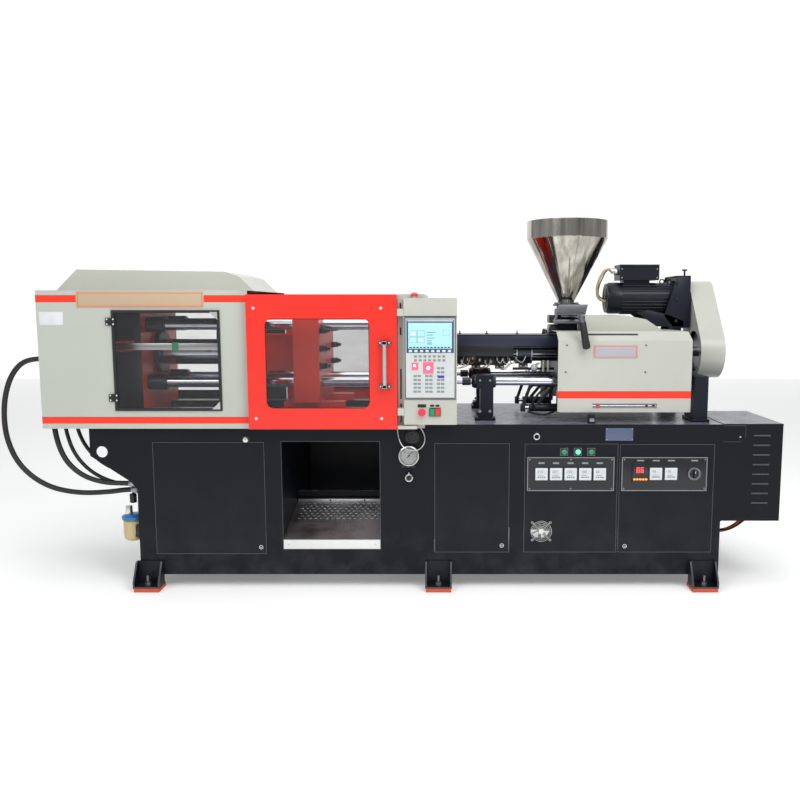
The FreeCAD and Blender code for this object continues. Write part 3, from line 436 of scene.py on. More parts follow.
class Finishes:
    """Every material of the machine, made once and found by name."""

    RED: Colour = (0.8, 0.022, 0.01)
    GREY: Colour = (0.5, 0.505, 0.45)
    DARK: Colour = (0.0075, 0.0095, 0.019)

    def __init__(self) -> None:
        """Make all the finishes."""
        recipes = [
            BedCoat(),
            CoatedSheet("door_coat", (0.005, 0.0062, 0.0105), 0.4, 0.02, dust=0.05, specular=0.2),
            CoatedSheet("cover_coat", self.GREY, 0.38, 0.2),
            CoatedSheet("gate_coat", self.RED, 0.3, 0.5, drift=0.05),
            CoatedSheet("casting_coat", (0.74, 0.04, 0.014), 0.42, 0.2, peel=0.5, drift=0.12),
            CoatedSheet("stripe_red", (0.86, 0.035, 0.012), 0.35, 0.2, drift=0.04),
            CoatedSheet("dark_coat", self.DARK, 0.42, 0.03, specular=0.24),
            CoatedSheet("hammered_blue", (0.022, 0.026, 0.05), 0.36, 0.1, peel=0.7, drift=0.35),
            CoatedSheet("motor_coat", (0.006, 0.0085, 0.016), 0.38, 0.05, specular=0.26),
            CoatedSheet("plate_tan", (0.5, 0.38, 0.25), 0.45, 0.0),
            CoatedSheet("plate_silver", (0.42, 0.42, 0.44), 0.35, 0.2),
            CoatedSheet("plate_blue", (0.085, 0.11, 0.19), 0.35, 0.2),
            CoverLining(),
            CoatedSheet("white_sheet", (0.8, 0.81, 0.8), 0.35, 0.2, dust=0.2),
            # dark grey lines: lighter than the black doors, where they paint highlight on the door edges, and darker
            # than the pale panel, where they mark grooves
            CoatedSheet("edge_line", (0.055, 0.06, 0.066), 0.4, 0.1),
            # hopper steel: colour limits of 0.1 and 1.7 over a long vertical lay paint reflection bands into its
            # colour
            Metal("mirror_steel_reflection_bands", (0.5, 0.475, 0.42), 0.075, (0.55, 0.55, 0.03), 0.1, 0.05, 0.1, 1.7),
            Metal("hard_chrome", (0.66, 0.68, 0.74), 0.1, (60.0, 1.0, 1.0), 0.02, 0.05),
            Metal("turned_steel", (0.36, 0.37, 0.39), 0.3, (60.0, 1.0, 1.0), 0.1, 0.12),
            Metal("barrel_steel", (0.075, 0.08, 0.1), 0.28, (30.0, 1.0, 1.0), 0.08, 0.12),
            Metal("dull_steel", (0.2, 0.205, 0.22), 0.38, (1.0, 1.0, 8.0), 0.15, 0.15),
            Metal("tray_metal", (0.66, 0.67, 0.68), 0.3, (30.0, 1.0, 1.0), 0.08, 0.15),
            Metal("satin_metal", (0.72, 0.72, 0.7), 0.28, (1.0, 1.0, 30.0), 0.08, 0.06),
            Metal("frame_grey", (0.3, 0.31, 0.32), 0.35, (1.0, 1.0, 20.0), 0.08, 0.1),
            Metal("copper", (0.6, 0.24, 0.11), 0.3, (1.0, 1.0, 1.0), 0.05, 0.1),
            Plastic("black_plastic", (0.012, 0.012, 0.013), 0.42),
            Plastic("black_steel", (0.01, 0.011, 0.014), 0.33),
            Plastic("pad_rubber", (0.62, 0.085, 0.025), 0.62, 0.4, 600.0),
            Plastic("hose_rubber", (0.01, 0.01, 0.011), 0.48, 0.3, 700.0),
            Plastic("belt_rubber", (0.02, 0.02, 0.02), 0.6),
            Plastic("white_plastic", (0.66, 0.69, 0.7), 0.4),
            Plastic("key_panel", (0.58, 0.61, 0.6), 0.42),
            Plastic("key_grey", (0.25, 0.27, 0.29), 0.45),
            Plastic("screen_blue", (0.022, 0.075, 0.16), 0.3),
            Plastic("dial_white", (0.62, 0.65, 0.64), 0.35),
            Plastic("glass_dark", (0.015, 0.02, 0.03), 0.12, 0.0),
            Plastic("tank_beige", (0.55, 0.44, 0.23), 0.4),
            Plastic("cap_blue", (0.02, 0.17, 0.42), 0.35),
            Plastic("stop_red", (0.72, 0.04, 0.09), 0.25),
            Plastic("plain_red", (0.78, 0.03, 0.02), 0.3),
            Plastic("plain_green", (0.01, 0.28, 0.1), 0.3),
            Plastic("ceramic", (0.62, 0.6, 0.52), 0.5),
            Plastic("orange_sheath", (0.85, 0.24, 0.04), 0.5),
            Plastic("marker_green", (0.03, 0.35, 0.16), 0.4),
            # unlit lens with a faint painted glow
            Lit("lens_green", (0.01, 0.3, 0.12), 0.5),
            Lit("lens_green_bright", (0.1, 1.0, 0.38), 1.6),
            Lit("digit_red", (1.0, 0.05, 0.03), 2.6),
            Lit("digit_orange", (1.0, 0.32, 0.06), 1.8),
            Lit("screen_light", (0.42, 0.74, 0.84), 0.62),
            Lit("screen_pink", (0.85, 0.66, 0.78), 0.75),
            Lit("key_glow", (0.95, 0.16, 0.26), 0.55),
            Lit("key_lamp", (1.0, 0.74, 0.78), 1.2),
            Lit("key_blue", (0.04, 0.06, 0.42), 0.5),
            ClearSheet(),
        ]
        self.made = {recipe.name: recipe.make() for recipe in recipes}

    def __getitem__(self, name: str) -> bpy.types.Material:
        """A finish by its name."""
        return self.made[name]


FINISHES = Finishes()


# ---- mesh building -----------------------------------------------------------------------------
class Shape:
    """A mesh under construction, made from bmesh operators in the machine's own frame."""

    def __init__(self, *finishes: str) -> None:
        """Start empty.

        Args:
            finishes: names of the finishes, in slot order.
        """
        self.bm = bmesh.new()
        self.finishes = finishes

    def _settle(self, before: set, matrix: Matrix, slot: int) -> list:
        """Place what an operator has just added and give it its slot."""
        verts = [v for v in self.bm.verts if v not in before]
        bmesh.ops.transform(self.bm, matrix=matrix, verts=verts)
        for face in {f for v in verts for f in v.link_faces}:
            face.material_index = slot
        return verts

    def _round(self, edges: Iterable[bmesh.types.BMEdge], radius: float, steps: int = 2) -> None:
        """Round edges with a bevel."""
        bmesh.ops.bevel(self.bm, geom=list(edges), offset=radius, offset_type="OFFSET", affect="EDGES",
                        segments=steps, profile=0.5, material=-1, clamp_overlap=True)

    def block(self, low: Point, high: Point, bevel: float = 0.0, slot: int = 0, steps: int = 2) -> "Shape":
        """Add a block with rounded edges.

        Args:
            low: lowest corner.
            high: highest corner.
            bevel: radius of the edges.
            slot: finish slot.
            steps: segments of the rounding.

        Returns:
            This shape.
        """
        before = set(self.bm.verts)
        made = bmesh.ops.create_cube(self.bm, size=1.0)["verts"]
        size = [h - l for l, h in zip(low, high)]
        bmesh.ops.scale(self.bm, vec=size, verts=made)
        if bevel:
            self._round({e for v in made for e in v.link_edges}, bevel, steps)
        middle = Vector([(l + h) / 2 for l, h in zip(low, high)])
        self._settle(before, Matrix.Translation(middle), slot)
        return self

    def bar(self, start: Point, end: Point, radius: float, tip: Optional[float] = None, sides: int = 32,
            bevel: float = 0.0, slot: int = 0) -> "Shape":
        """Add a round bar, cone or polygon prism between two points.

        Args:
            start: middle of the first end.
            end: middle of the second end.
            radius: radius at the start.
            tip: radius at the end, if it differs.
            sides: number of sides.
            bevel: rounding of the end edges.
            slot: finish slot.

        Returns:
            This shape.
        """
        before = set(self.bm.verts)
        a, b = Vector(start), Vector(end)
        span = b - a
        bmesh.ops.create_cone(self.bm, cap_ends=True, cap_tris=False, segments=sides, radius1=radius,
                              radius2=radius if tip is None else tip, depth=span.length)
        if bevel:
            fresh = [v for v in self.bm.verts if v not in before]
            edges, level = {e for v in fresh for e in v.link_edges}, span.length * 0.01
            self._round([e for e in edges if abs(e.verts[0].co.z - e.verts[1].co.z) < level], bevel)
        turn = span.normalized().to_track_quat("Z", "Y").to_matrix().to_4x4()
        self._settle(before, Matrix.Translation((a + b) / 2) @ turn, slot)
        return self

    def lathe(self, profile: Sequence[tuple[float, float]], origin: Point, axis: Point, steps: int = 48,
              slot: int = 0) -> "Shape":
        """Turn an outline of radius and height about an axis.

        Args:
            profile: radius and height of each point; a closed ring repeats its first point.
            origin: where height is zero.
            axis: direction of the height.
            steps: steps in the turn.
            slot: finish slot.

        Returns:
            This shape.
        """
        before = set(self.bm.verts)
        points = [self.bm.verts.new((r, 0.0, h)) for r, h in profile]
        edges = [self.bm.edges.new(pair) for pair in zip(points, points[1:])]
        bmesh.ops.spin(self.bm, geom=points + edges, cent=(0, 0, 0), axis=(0, 0, 1), angle=math.tau, steps=steps,
                       use_merge=True)
        fresh = [v for v in self.bm.verts if v not in before]
        bmesh.ops.remove_doubles(self.bm, verts=fresh, dist=1e-6)
        fresh = [v for v in self.bm.verts if v not in before]
        bmesh.ops.recalc_face_normals(self.bm, faces=list({f for v in fresh for f in v.link_faces}))
        turn = Vector(axis).normalized().to_track_quat("Z", "Y").to_matrix().to_4x4()
        self._settle(before, Matrix.Translation(Vector(origin)) @ turn, slot)
        return self

    def ring(self, centre: Point, axis: Point, radius: float, wire: float, slot: int = 0,
             steps: int = 40) -> "Shape":
        """Add a round wire ring.

        Args:
            centre: middle of the ring.
            axis: its axis.
            radius: radius of the wire's centreline.
            wire: radius of the wire.
            slot: finish slot.
            steps: steps around the ring.

        Returns:
            This shape.
        """
        sides = 8
        profile = [(radius + wire * math.cos(math.tau * i / sides),
                    wire * math.sin(math.tau * i / sides)) for i in range(sides)]
        return self.lathe(profile + profile[:1], centre, axis, steps, slot)

    def plate(self, outline: Sequence[Point], depth: Point, bevel: float = 0.0, slot: int = 0) -> "Shape":
        """Push a flat outline along a vector.

        Args:
            outline: corners in order.
            depth: the push.
            bevel: rounding of all edges.
            slot: finish slot.

        Returns:
            This shape.
        """
        before = set(self.bm.verts)
        corners = [self.bm.verts.new(p) for p in outline]
        face = self.bm.faces.new(corners)
        made = bmesh.ops.extrude_face_region(self.bm, geom=[face])["geom"]
        bmesh.ops.translate(self.bm, vec=depth, verts=[g for g in made if isinstance(g, bmesh.types.BMVert)])
        fresh = [v for v in self.bm.verts if v not in before]
        bmesh.ops.recalc_face_normals(self.bm, faces=list({f for v in fresh for f in v.link_faces}))
        if bevel:
            self._round({e for v in fresh for e in v.link_edges}, bevel)
        self._settle(before, Matrix.Identity(4), slot)
        return self

    def dome(self, centre: Point, size: Point, slot: int = 0, sides: int = 10) -> "Shape":
        """Add a squashed ball.

        Args:
            centre: its middle.
            size: half of its size on each axis.
            slot: finish slot.
            sides: segments around it.

        Returns:
            This shape.
        """
        before = set(self.bm.verts)
        bmesh.ops.create_uvsphere(self.bm, u_segments=sides, v_segments=max(4, sides // 2), radius=1.0)
        matrix = Matrix.Translation(Vector(centre)) @ Matrix.Diagonal((*size, 1.0))
        self._settle(before, matrix, slot)
        return self

    def wire(self, points: Sequence[Point], radius: float, slot: int = 0) -> "Shape":
        """Add a short bent pipe through points.

        Args:
            points: route, smoothed as a spline.
            radius: radius of the pipe.
            slot: finish slot.

        Returns:
            This shape.
        """
        before = set(self.bm.verts)
        mesh = bpy.data.meshes.new_from_object(spline_object("pipe", points, radius))
        self.bm.from_mesh(mesh)
        self._settle(before, Matrix.Identity(4), slot)
        bpy.data.meshes.remove(mesh)
        bpy.data.objects.remove(bpy.data.objects["pipe"])
        return self

    def finish(self, name: str, body: Body, smooth: bool = True) -> bpy.types.Object:
        """Turn the shape into a piece that rides on a body.

        Args:
            name: the piece's name.
            body: what it rides on.
            smooth: whether shallow edges are smoothed.

        Returns:
            The piece.
        """
        mesh = bpy.data.meshes.new(name)
        self.bm.to_mesh(mesh)
        self.bm.free()
        piece = bpy.data.objects.new(name, mesh)
        bpy.context.scene.collection.objects.link(piece)
        for finish in self.finishes:
            mesh.materials.append(FINISHES[finish])
        if smooth:
            mesh.shade_smooth()
            mesh.set_sharp_from_angle(angle=math.radians(32))
        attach(piece, body.value)
        LOG.info("%s: %d faces on %s", name, len(mesh.polygons), body.value)
        return piece


def spline_object(name: str, points: Sequence[Point], radius: float, resolution: int = 8) -> bpy.types.Object:
    """A NURBS curve with a round section.

    Args:
        name: name of the object.
        points: its control points.
        radius: radius of the section.
        resolution: steps between control points.

    Returns:
        The curve's object.
    """
    curve = bpy.data.curves.new(name, "CURVE")
    curve.dimensions = "3D"
    curve.bevel_depth = radius
    curve.bevel_resolution = 3
    curve.use_fill_caps = True
    spline = curve.splines.new("NURBS")
    spline.points.add(len(points) - 1)
    for slot, place in zip(spline.points, points):
        slot.co = (*place, 1.0)
    spline.order_u = 3
    spline.use_endpoint_u = True
    spline.resolution_u = resolution
    piece = bpy.data.objects.new(name, curve)
    bpy.context.scene.collection.objects.link(piece)
    return piece


def span_box(node: str) -> tuple[Vector, Vector]:
    """Lowest and highest corner of a node."""
    low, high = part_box(node)
    return Vector(low), Vector(high)


def screws(shape: Shape, places: Iterable[Point], radius: float = 0.006, height: float = 0.003,
           slot: int = 0) -> Shape:
    """Add pan-head screws that face the front.

    Args:
        shape: what they are added to.
        places: point on the surface under each head.
        radius: head radius.
        height: head height.
        slot: finish slot.

    Returns:
        The shape.
    """
    for x, y, z in places:
        shape.bar((x, y + 0.0005, z), (x, y - height, z), radius, radius * 0.72, 14, slot=slot)
        shape.block((x - radius * 0.6, y - height - 0.0003, z - 0.0007),
                    (x + radius * 0.6, y - height + 0.001, z + 0.0007), slot=slot)
    return shape


def outline(shape: Shape, x: tuple[float, float], z: tuple[float, float], width: float, y: tuple[float, float],
            slot: int = 0) -> Shape:
    """Add a thin rectangular frame that faces the front.

    Args:
        shape: what it is added to.
        x: outer span along X.
        z: outer span along Z.
        width: width of its bars.
        y: front and back.
        slot: finish slot.

    Returns:
        The shape.
    """
    for low, high in (((x[0], z[0]), (x[1], z[0] + width)), ((x[0], z[1] - width), (x[1], z[1])),
                      ((x[0], z[0] + width), (x[0] + width, z[1] - width)),
                      ((x[1] - width, z[0] + width), (x[1], z[1] - width))):
        shape.block((low[0], y[0], low[1]), (high[0], y[1], high[1]), slot=slot)
    return shape


SEGMENTS = {"0": "abcdef", "1": "bc", "2": "abged", "3": "abgcd", "4": "fgbc", "5": "afgcd", "6": "afgedc",
            "7": "abc", "8": "abcdefg", "9": "abcdfg"}


def digits(shape: Shape, text: str, x: float, z: float, height: float, y: float, slot: int = 0) -> Shape:
    """Add seven-segment numbers that face the front.

    Args:
        shape: what they are added to.
        text: digits to show.
        x: left edge of the first digit.
        z: bottom of the digits.
        height: height of a digit.
        y: plane of their faces.
        slot: finish slot.

    Returns:
        The shape.
    """
    wide, bar = height * 0.5, height * 0.13
    for index, digit in enumerate(text):
        left = x + index * wide * 1.5
        spans = {"a": ((0, height - bar), (wide, height)), "d": ((0, 0), (wide, bar)),
                 "g": ((0, height / 2 - bar / 2), (wide, height / 2 + bar / 2)),
                 "f": ((0, height / 2), (bar, height)), "e": ((0, 0), (bar, height / 2)),
                 "b": ((wide - bar, height / 2), (wide, height)), "c": ((wide - bar, 0), (wide, height / 2))}
        for key in SEGMENTS[digit]:
            low, high = spans[key]
            shape.block((left + low[0], y, z + low[1]), (left + high[0], y + 0.0006, z + high[1]), slot=slot)
    return shape


# ---- carried-over nodes ------------------------------------------------------------------------
class Carried:
    """Finishes of the nodes that keep their own shape."""

    LOOKS = {
        "bed_coat": ["bed_frame", "side_cabinet"],
        "door_coat": ["service_door", "middle_door", "heater_door", "drive_door", "foot_brackets"],
        "pad_rubber": ["foot_pads"],
        "cover_with_inner_shade": ["clamp_cover"],
        "cover_coat": ["roof_cover", "injection_hood", "belt_guard", "control_panel", "gate_frame"],
        "gate_coat": ["front_gate", "rear_gate"],
        "casting_coat": ["rear_platen", "fixed_platen", "moving_platen"],
        "dark_coat": ["carriage", "motor_bracket", "rod_columns", "clamp_cylinder", "barrel_cover", "hopper_base",
                      "ejector"],
        "motor_coat": ["drive_motor"],
        "hard_chrome": ["tie_bars", "clamp_ram", "guide_rods"],
        "barrel_steel": ["barrel", "heater_bands"],
        "mirror_steel_reflection_bands": ["hopper"],
        "turned_steel": ["tie_bar_nuts", "screw", "screw_pulley", "motor_pulley"],
        "dull_steel": ["hose_fittings", "hopper_slide", "pressure_gauge"],
        "tray_metal": ["drop_chute"],
        "satin_metal": ["front_gate_handle", "rear_gate_handle"],
        "clear_pane": ["window_pane", "front_gate_pane", "rear_gate_pane"],
        "black_plastic": ["clamp_window", "selector_switch", "gauge_needle"],
        "key_grey": ["fan_rotor"],
        "black_steel": ["heater_panel"],
        "key_panel": ["panel_screen"],
        "plain_red": ["halt_button"],
        "stop_red": ["stop_button"],
        "plain_green": ["start_button"],
        "belt_rubber": ["drive_belt"],
    }

    def dress(self) -> None:
        """Give each node its finish."""
        for finish, nodes in self.LOOKS.items():
            for node in nodes:
                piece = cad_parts[node]
                piece.data.materials.clear()
                piece.data.materials.append(FINISHES[finish])
                for polygon in piece.data.polygons:
                    polygon.material_index = 0
        LOG.info("carried nodes dressed")


@dataclass
class GateParts:
    """Handle blocks, screws and seals of the sliding gates."""

    block_half: float = 0.036
    screw_x: tuple[float, float] = (-0.897, -0.184)
    screw_z: tuple[float, float] = (1.02, 1.643)

    def build(self) -> None:
        """Build the parts of both gates."""
        for body, node, side in ((Body.FRONT_GATE, "front_gate", 1), (Body.REAR_GATE, "rear_gate", -1)):
            self.one(body, node, side)

    def one(self, body: Body, node: str, side: int) -> None:
        """Build one gate's parts.

        Args:
            body: the gate's body.
            node: the gate's node.
            side: 1 for the front, -1 for the back.
        """
        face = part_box(node)[0][1] if side == 1 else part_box(node)[1][1]
        handle = span_box(node + "_handle")
        middle = (handle[0].x + handle[1].x) / 2
        black = Shape("black_plastic", "white_plastic")
        out = -side
        reach = handle[0].y if side == 1 else handle[1].y
        for z in (handle[0].z + 0.01, handle[1].z - 0.01):
            low = (middle - self.block_half - 0.001, min(face, face + out * 0.017), z - 0.011)
            high = (middle + self.block_half + 0.001, max(face, face + out * 0.017), z + 0.011)
            black.block(low, high, 0.004)
            inner = sorted((face + out * 0.012, reach))
            black.block((middle - 0.015, inner[0], z - 0.011), (middle + 0.015, inner[1], z + 0.011), 0.004)
            for x in (middle - 0.025, middle + 0.025):
                black.bar((x, face + out * 0.016, z), (x, face + out * 0.019, z), 0.006, 0.0045, 14, slot=1)
        black.finish(node + "_handle_blocks", body)
        heads = Shape("white_plastic")
        for x in self.screw_x:
            for z in self.screw_z:
                heads.bar((x, face - out * 0.0005, z), (x, face + out * 0.003, z), 0.009, 0.006, 16)
        heads.finish(node + "_screws", body)
        pane = span_box(node + "_pane")
        seal = Shape("black_plastic")
        deep = (face - out * 0.003, face - out * 0.0035)
        outline(seal, (pane[0].x + 0.014, pane[1].x - 0.014), (pane[0].z + 0.014, pane[1].z - 0.014), 0.01,
                (min(deep), max(deep)))
        seal.finish(node + "_seal", body)


@dataclass
class ClampCovers:
    """Stripes, bare plate, hinge leaves and edge folds of the clamp cover."""

    stripes: tuple[tuple[float, float], ...] = ((0.985, 1.024), (1.676, 1.716))
    plate_x: tuple[float, float] = (-1.905, -1.185)
    plate_z: tuple[float, float] = (1.645, 1.737)
    badge_x: tuple[float, float] = (-2.12, -1.984)
    badge_z: tuple[float, float] = (1.548, 1.622)
    welt_width: float = 0.018
    welt_height: float = 0.004
    thin: float = 0.0008

    def build(self) -> None:
        """Build the cover's trim."""
        low, high = span_box("clamp_cover")
        face = low.y
        red = Shape("stripe_red")
        for z in self.stripes:
            red.block((low.x, face - self.thin, z[0]), (high.x, face, z[1]))
            red.block((low.x, high.y, z[0]), (high.x, high.y + self.thin, z[1]))
        red.finish("clamp_cover_stripes", Body.BED, smooth=False)
        plate = Shape("plate_tan", "stripe_red", "white_plastic")
        plate.block((self.plate_x[0], face - 0.002, self.plate_z[0]),
                    (self.plate_x[1], face - self.thin, self.plate_z[1]), 0.0005)
        outline(plate, (self.plate_x[0] + 0.008, self.plate_x[1] - 0.008),
                (self.plate_z[0] + 0.008, self.plate_z[1] - 0.008), 0.003, (face - 0.0024, face - 0.002), 1)
        plate.block((self.badge_x[0], face - 0.0012, self.badge_z[0]), (self.badge_x[1], face, self.badge_z[1]),
                    0.0004, 2)
        plate.finish("clamp_cover_plate", Body.BED)
        window = span_box("clamp_window")
        leaves = Shape("black_plastic", "white_plastic")
        moving = Shape("black_plastic", "white_plastic", "satin_metal")
        for z in (window[0].z + 0.075, window[1].z - 0.065):
            x = window[0].x
            leaves.block((x - 0.034, face - 0.009, z - 0.022), (x - 0.003, face, z + 0.022), 0.002)
            leaves.bar((x - 0.001, face - 0.0125, z - 0.012), (x - 0.001, face - 0.0125, z + 0.012), 0.0045, sides=16)
            for dz in (-0.014, 0.014):
                leaves.bar((x - 0.024, face - 0.0085, z + dz), (x - 0.024, face - 0.011, z + dz), 0.005, 0.004, 12,
                           slot=1)
                moving.bar((x + 0.013, face - 0.0125, z + dz), (x + 0.013, face - 0.015, z + dz), 0.005, 0.004, 12,
                           slot=1)
        right = window[1].x - 0.01
        for z, way in ((window[0].z + 0.01, 1), (window[1].z - 0.01, -1)):
            moving.plate([(right, window[0].y + 0.0005, z), (right - 0.045, window[0].y + 0.0005, z),
                          (right, window[0].y + 0.0005, z + way * 0.045)], (0, -0.0015, 0), slot=2)
        leaves.finish("window_hinge_leaves", Body.BED)
        moving.finish("window_hinge_screws", Body.WINDOW)
        self.welt(high.z)

    def welt(self, base: float) -> None:
        """Build the folded welt under the roof.

        Args:
            base: height of the cover's top.
        """
        low, high = span_box("roof_cover")
        out, top = self.welt_width, base + self.welt_height
        welt = Shape("cover_coat")
        welt.block((low.x - out, low.y - out, base), (high.x, low.y, top), 0.001)
        welt.block((low.x - out, high.y, base), (high.x, high.y + out, top), 0.001)
        welt.block((low.x - out, low.y, base), (low.x, high.y, top), 0.001)
        welt.finish("roof_welt", Body.BED)


@dataclass
class ClampInside:
    """What shows through the windows: sleeves, mould clamps, travel scale, ejector drive and lines."""

    clamp_z: tuple[float, ...] = (1.295, 1.4, 1.508)
    scale_y: float = -0.405
    scale_z: tuple[float, float] = (1.4, 1.44)
    scale_end: float = -1.115
    mould_face: float = -0.575
    bar_pitch: float = 0.35
    sleeve_wall: float = 0.016
    sleeve_length: float = 0.112

    def build(self) -> None:
        """Build the inner parts."""
        self.sleeves()
        self.side_shields()
        self.mould_clamps()
        self.travel_scale()
        self.ejector_drive()
        self.lines()

    def sleeves(self) -> None:
        """Black sleeves on the tie bars beside the rear platen."""
        bars = span_box("tie_bars")
        rear = span_box("rear_platen")
        radius = (bars[1].z - bars[0].z - self.bar_pitch) / 2
        inner, outer = radius + 0.0005, radius + self.sleeve_wall
        black = Shape("black_steel", "turned_steel")
        for y in (bars[0].y + radius, bars[1].y - radius):
            for z in (bars[0].z + radius, bars[1].z - radius):
                profile = [(inner, 0.0), (outer, 0.0), (outer, self.sleeve_length - 0.012),
                           (outer - 0.004, self.sleeve_length), (inner, self.sleeve_length), (inner, 0.0)]
                black.lathe(profile, (rear[1].x, y, z), (1, 0, 0), 40)
        black.finish("tie_bar_sleeves", Body.BED)

    def side_shields(self) -> None:
        """Black plates on both sides of the rear platen and a dark sheet on the deck under the cover, as painted
        shade inside the cover.
        """
        shade_plates = Shape("black_steel")
        rear = span_box("rear_platen")
        # painted shade: black plates over the platen's sides, which lie in shade
        for side in SIDES:
            y = sorted((side * 0.3105, side * 0.313))
            shade_plates.block((rear[0].x, y[0], 1.04), (rear[1].x - 0.002, y[1], rear[1].z - 0.004), 0.0006)
        # painted shade: dark sheet over the deck under the cover
        shade_plates.block((-2.125, BED_FRONT, 0.978), (-1.64, BED_BACK, 0.984), 0.001)
        shade_plates.finish("platen_shade_plates", Body.BED)

    def mould_clamps(self) -> None:
        """Step clamps along both edges of the moving platen."""
        platen = span_box("moving_platen")
        face = self.mould_face
        steel = Shape("black_steel", "turned_steel")
        for side in SIDES:
            edge = (platen[0].y if side < 0 else platen[1].y) - side * 0.02
            for z in self.clamp_z:
                y = sorted((edge, edge - side * 0.085))
                steel.block((face + 0.0005, y[0], z - 0.017), (face + 0.028, y[1], z + 0.017), 0.003)
                steel.bar((face + 0.02, sum(y) / 2, z), (face + 0.06, sum(y) / 2, z), 0.01, sides=20)
                steel.bar((face + 0.028, sum(y) / 2, z), (face + 0.042, sum(y) / 2, z), 0.017, sides=6, slot=0)
        steel.finish("mould_clamps", Body.PLATEN)

    def travel_scale(self) -> None:
        """Aluminium travel sensor on two brackets, with its marker."""
        rear = span_box("rear_platen")
        y = self.scale_y
        alu = Shape("satin_metal", "marker_green", "casting_coat")
        alu.block((rear[0].x + 0.02, y - 0.012, self.scale_z[0]), (self.scale_end, y + 0.012, self.scale_z[1]), 0.003)
        alu.block((rear[0].x + 0.04, y + 0.012, self.scale_z[0] - 0.01),
                  (rear[1].x - 0.04, rear[0].y, self.scale_z[1] + 0.01), 0.003, 2)
        alu.block((-1.412, y - 0.02, self.scale_z[0] - 0.004), (-1.376, y + 0.016, self.scale_z[1] + 0.004), 0.003, 1)
        alu.finish("travel_scale", Body.BED)
        follower = Shape("casting_coat", "satin_metal")
        platen = span_box("moving_platen")
        ram_plate_y = -0.27
        follower.block((platen[0].x + 0.01, y + 0.018, 1.366), (platen[0].x + 0.075, ram_plate_y, 1.392), 0.003)
        follower.block((platen[0].x + 0.01, y + 0.017, 1.392), (platen[0].x + 0.075, y + 0.028, 1.45), 0.003)
        follower.finish("travel_follower", Body.PLATEN)

    def ejector_drive(self) -> None:
        """Ejector cylinder between the ram plate and the ejector plate, with guide pins."""
        low, high = span_box("ejector")
        z = (low.z + high.z) / 2
        drive = Shape("black_steel", "hard_chrome", "turned_steel")
        drive.bar((-1.0595, 0, z), (-0.945, 0, z), 0.045, sides=40, bevel=0.004)
        drive.bar((-0.955, 0, z), (-0.9455, 0, z), 0.056, sides=40, bevel=0.002)
        for y in (-0.075, 0.075):
            for dz in (-0.055, 0.055):
                drive.bar((-1.0595, y, z + dz), (-0.7305, y, z + dz), 0.007, sides=16, slot=2)
        drive.finish("ejector_cylinder", Body.PLATEN)
        rod = Shape("hard_chrome", "black_steel")
        rod.bar((-0.944, 0, z), (low.x - 0.0002, 0, z), 0.018, sides=32)
        for y in (-0.06, 0.06):
            rod.bar((low.x + 0.0252, y, z), (low.x + 0.045, y, z), 0.02, sides=6, slot=1)
        rod.finish("ejector_rod", Body.EJECTOR)

    def lines(self) -> None:
        """Hydraulic lines and dark manifold inside the clamp cover."""
        lines = Shape("hose_rubber", "black_steel", "turned_steel")
        lines.wire([(-1.33, 0.3, 0.99), (-1.33, 0.3, 1.15), (-1.35, 0.31, 1.35), (-1.34, 0.3, 1.56),
                    (-1.3, 0.27, 1.66), (-1.2, 0.22, 1.68)], 0.013)
        lines.wire([(-1.26, 0.33, 0.99), (-1.27, 0.33, 1.2), (-1.245, 0.34, 1.4), (-1.26, 0.33, 1.6),
                    (-1.32, 0.3, 1.7)], 0.009)
        lines.block((-2.02, -0.3, 1.52), (-1.86, 0.1, 1.64), 0.006, 1)
        lines.bar((-1.94, -0.1, 1.495), (-1.94, -0.1, 1.53), 0.04, sides=32, slot=1)
        lines.finish("clamp_lines", Body.BED)


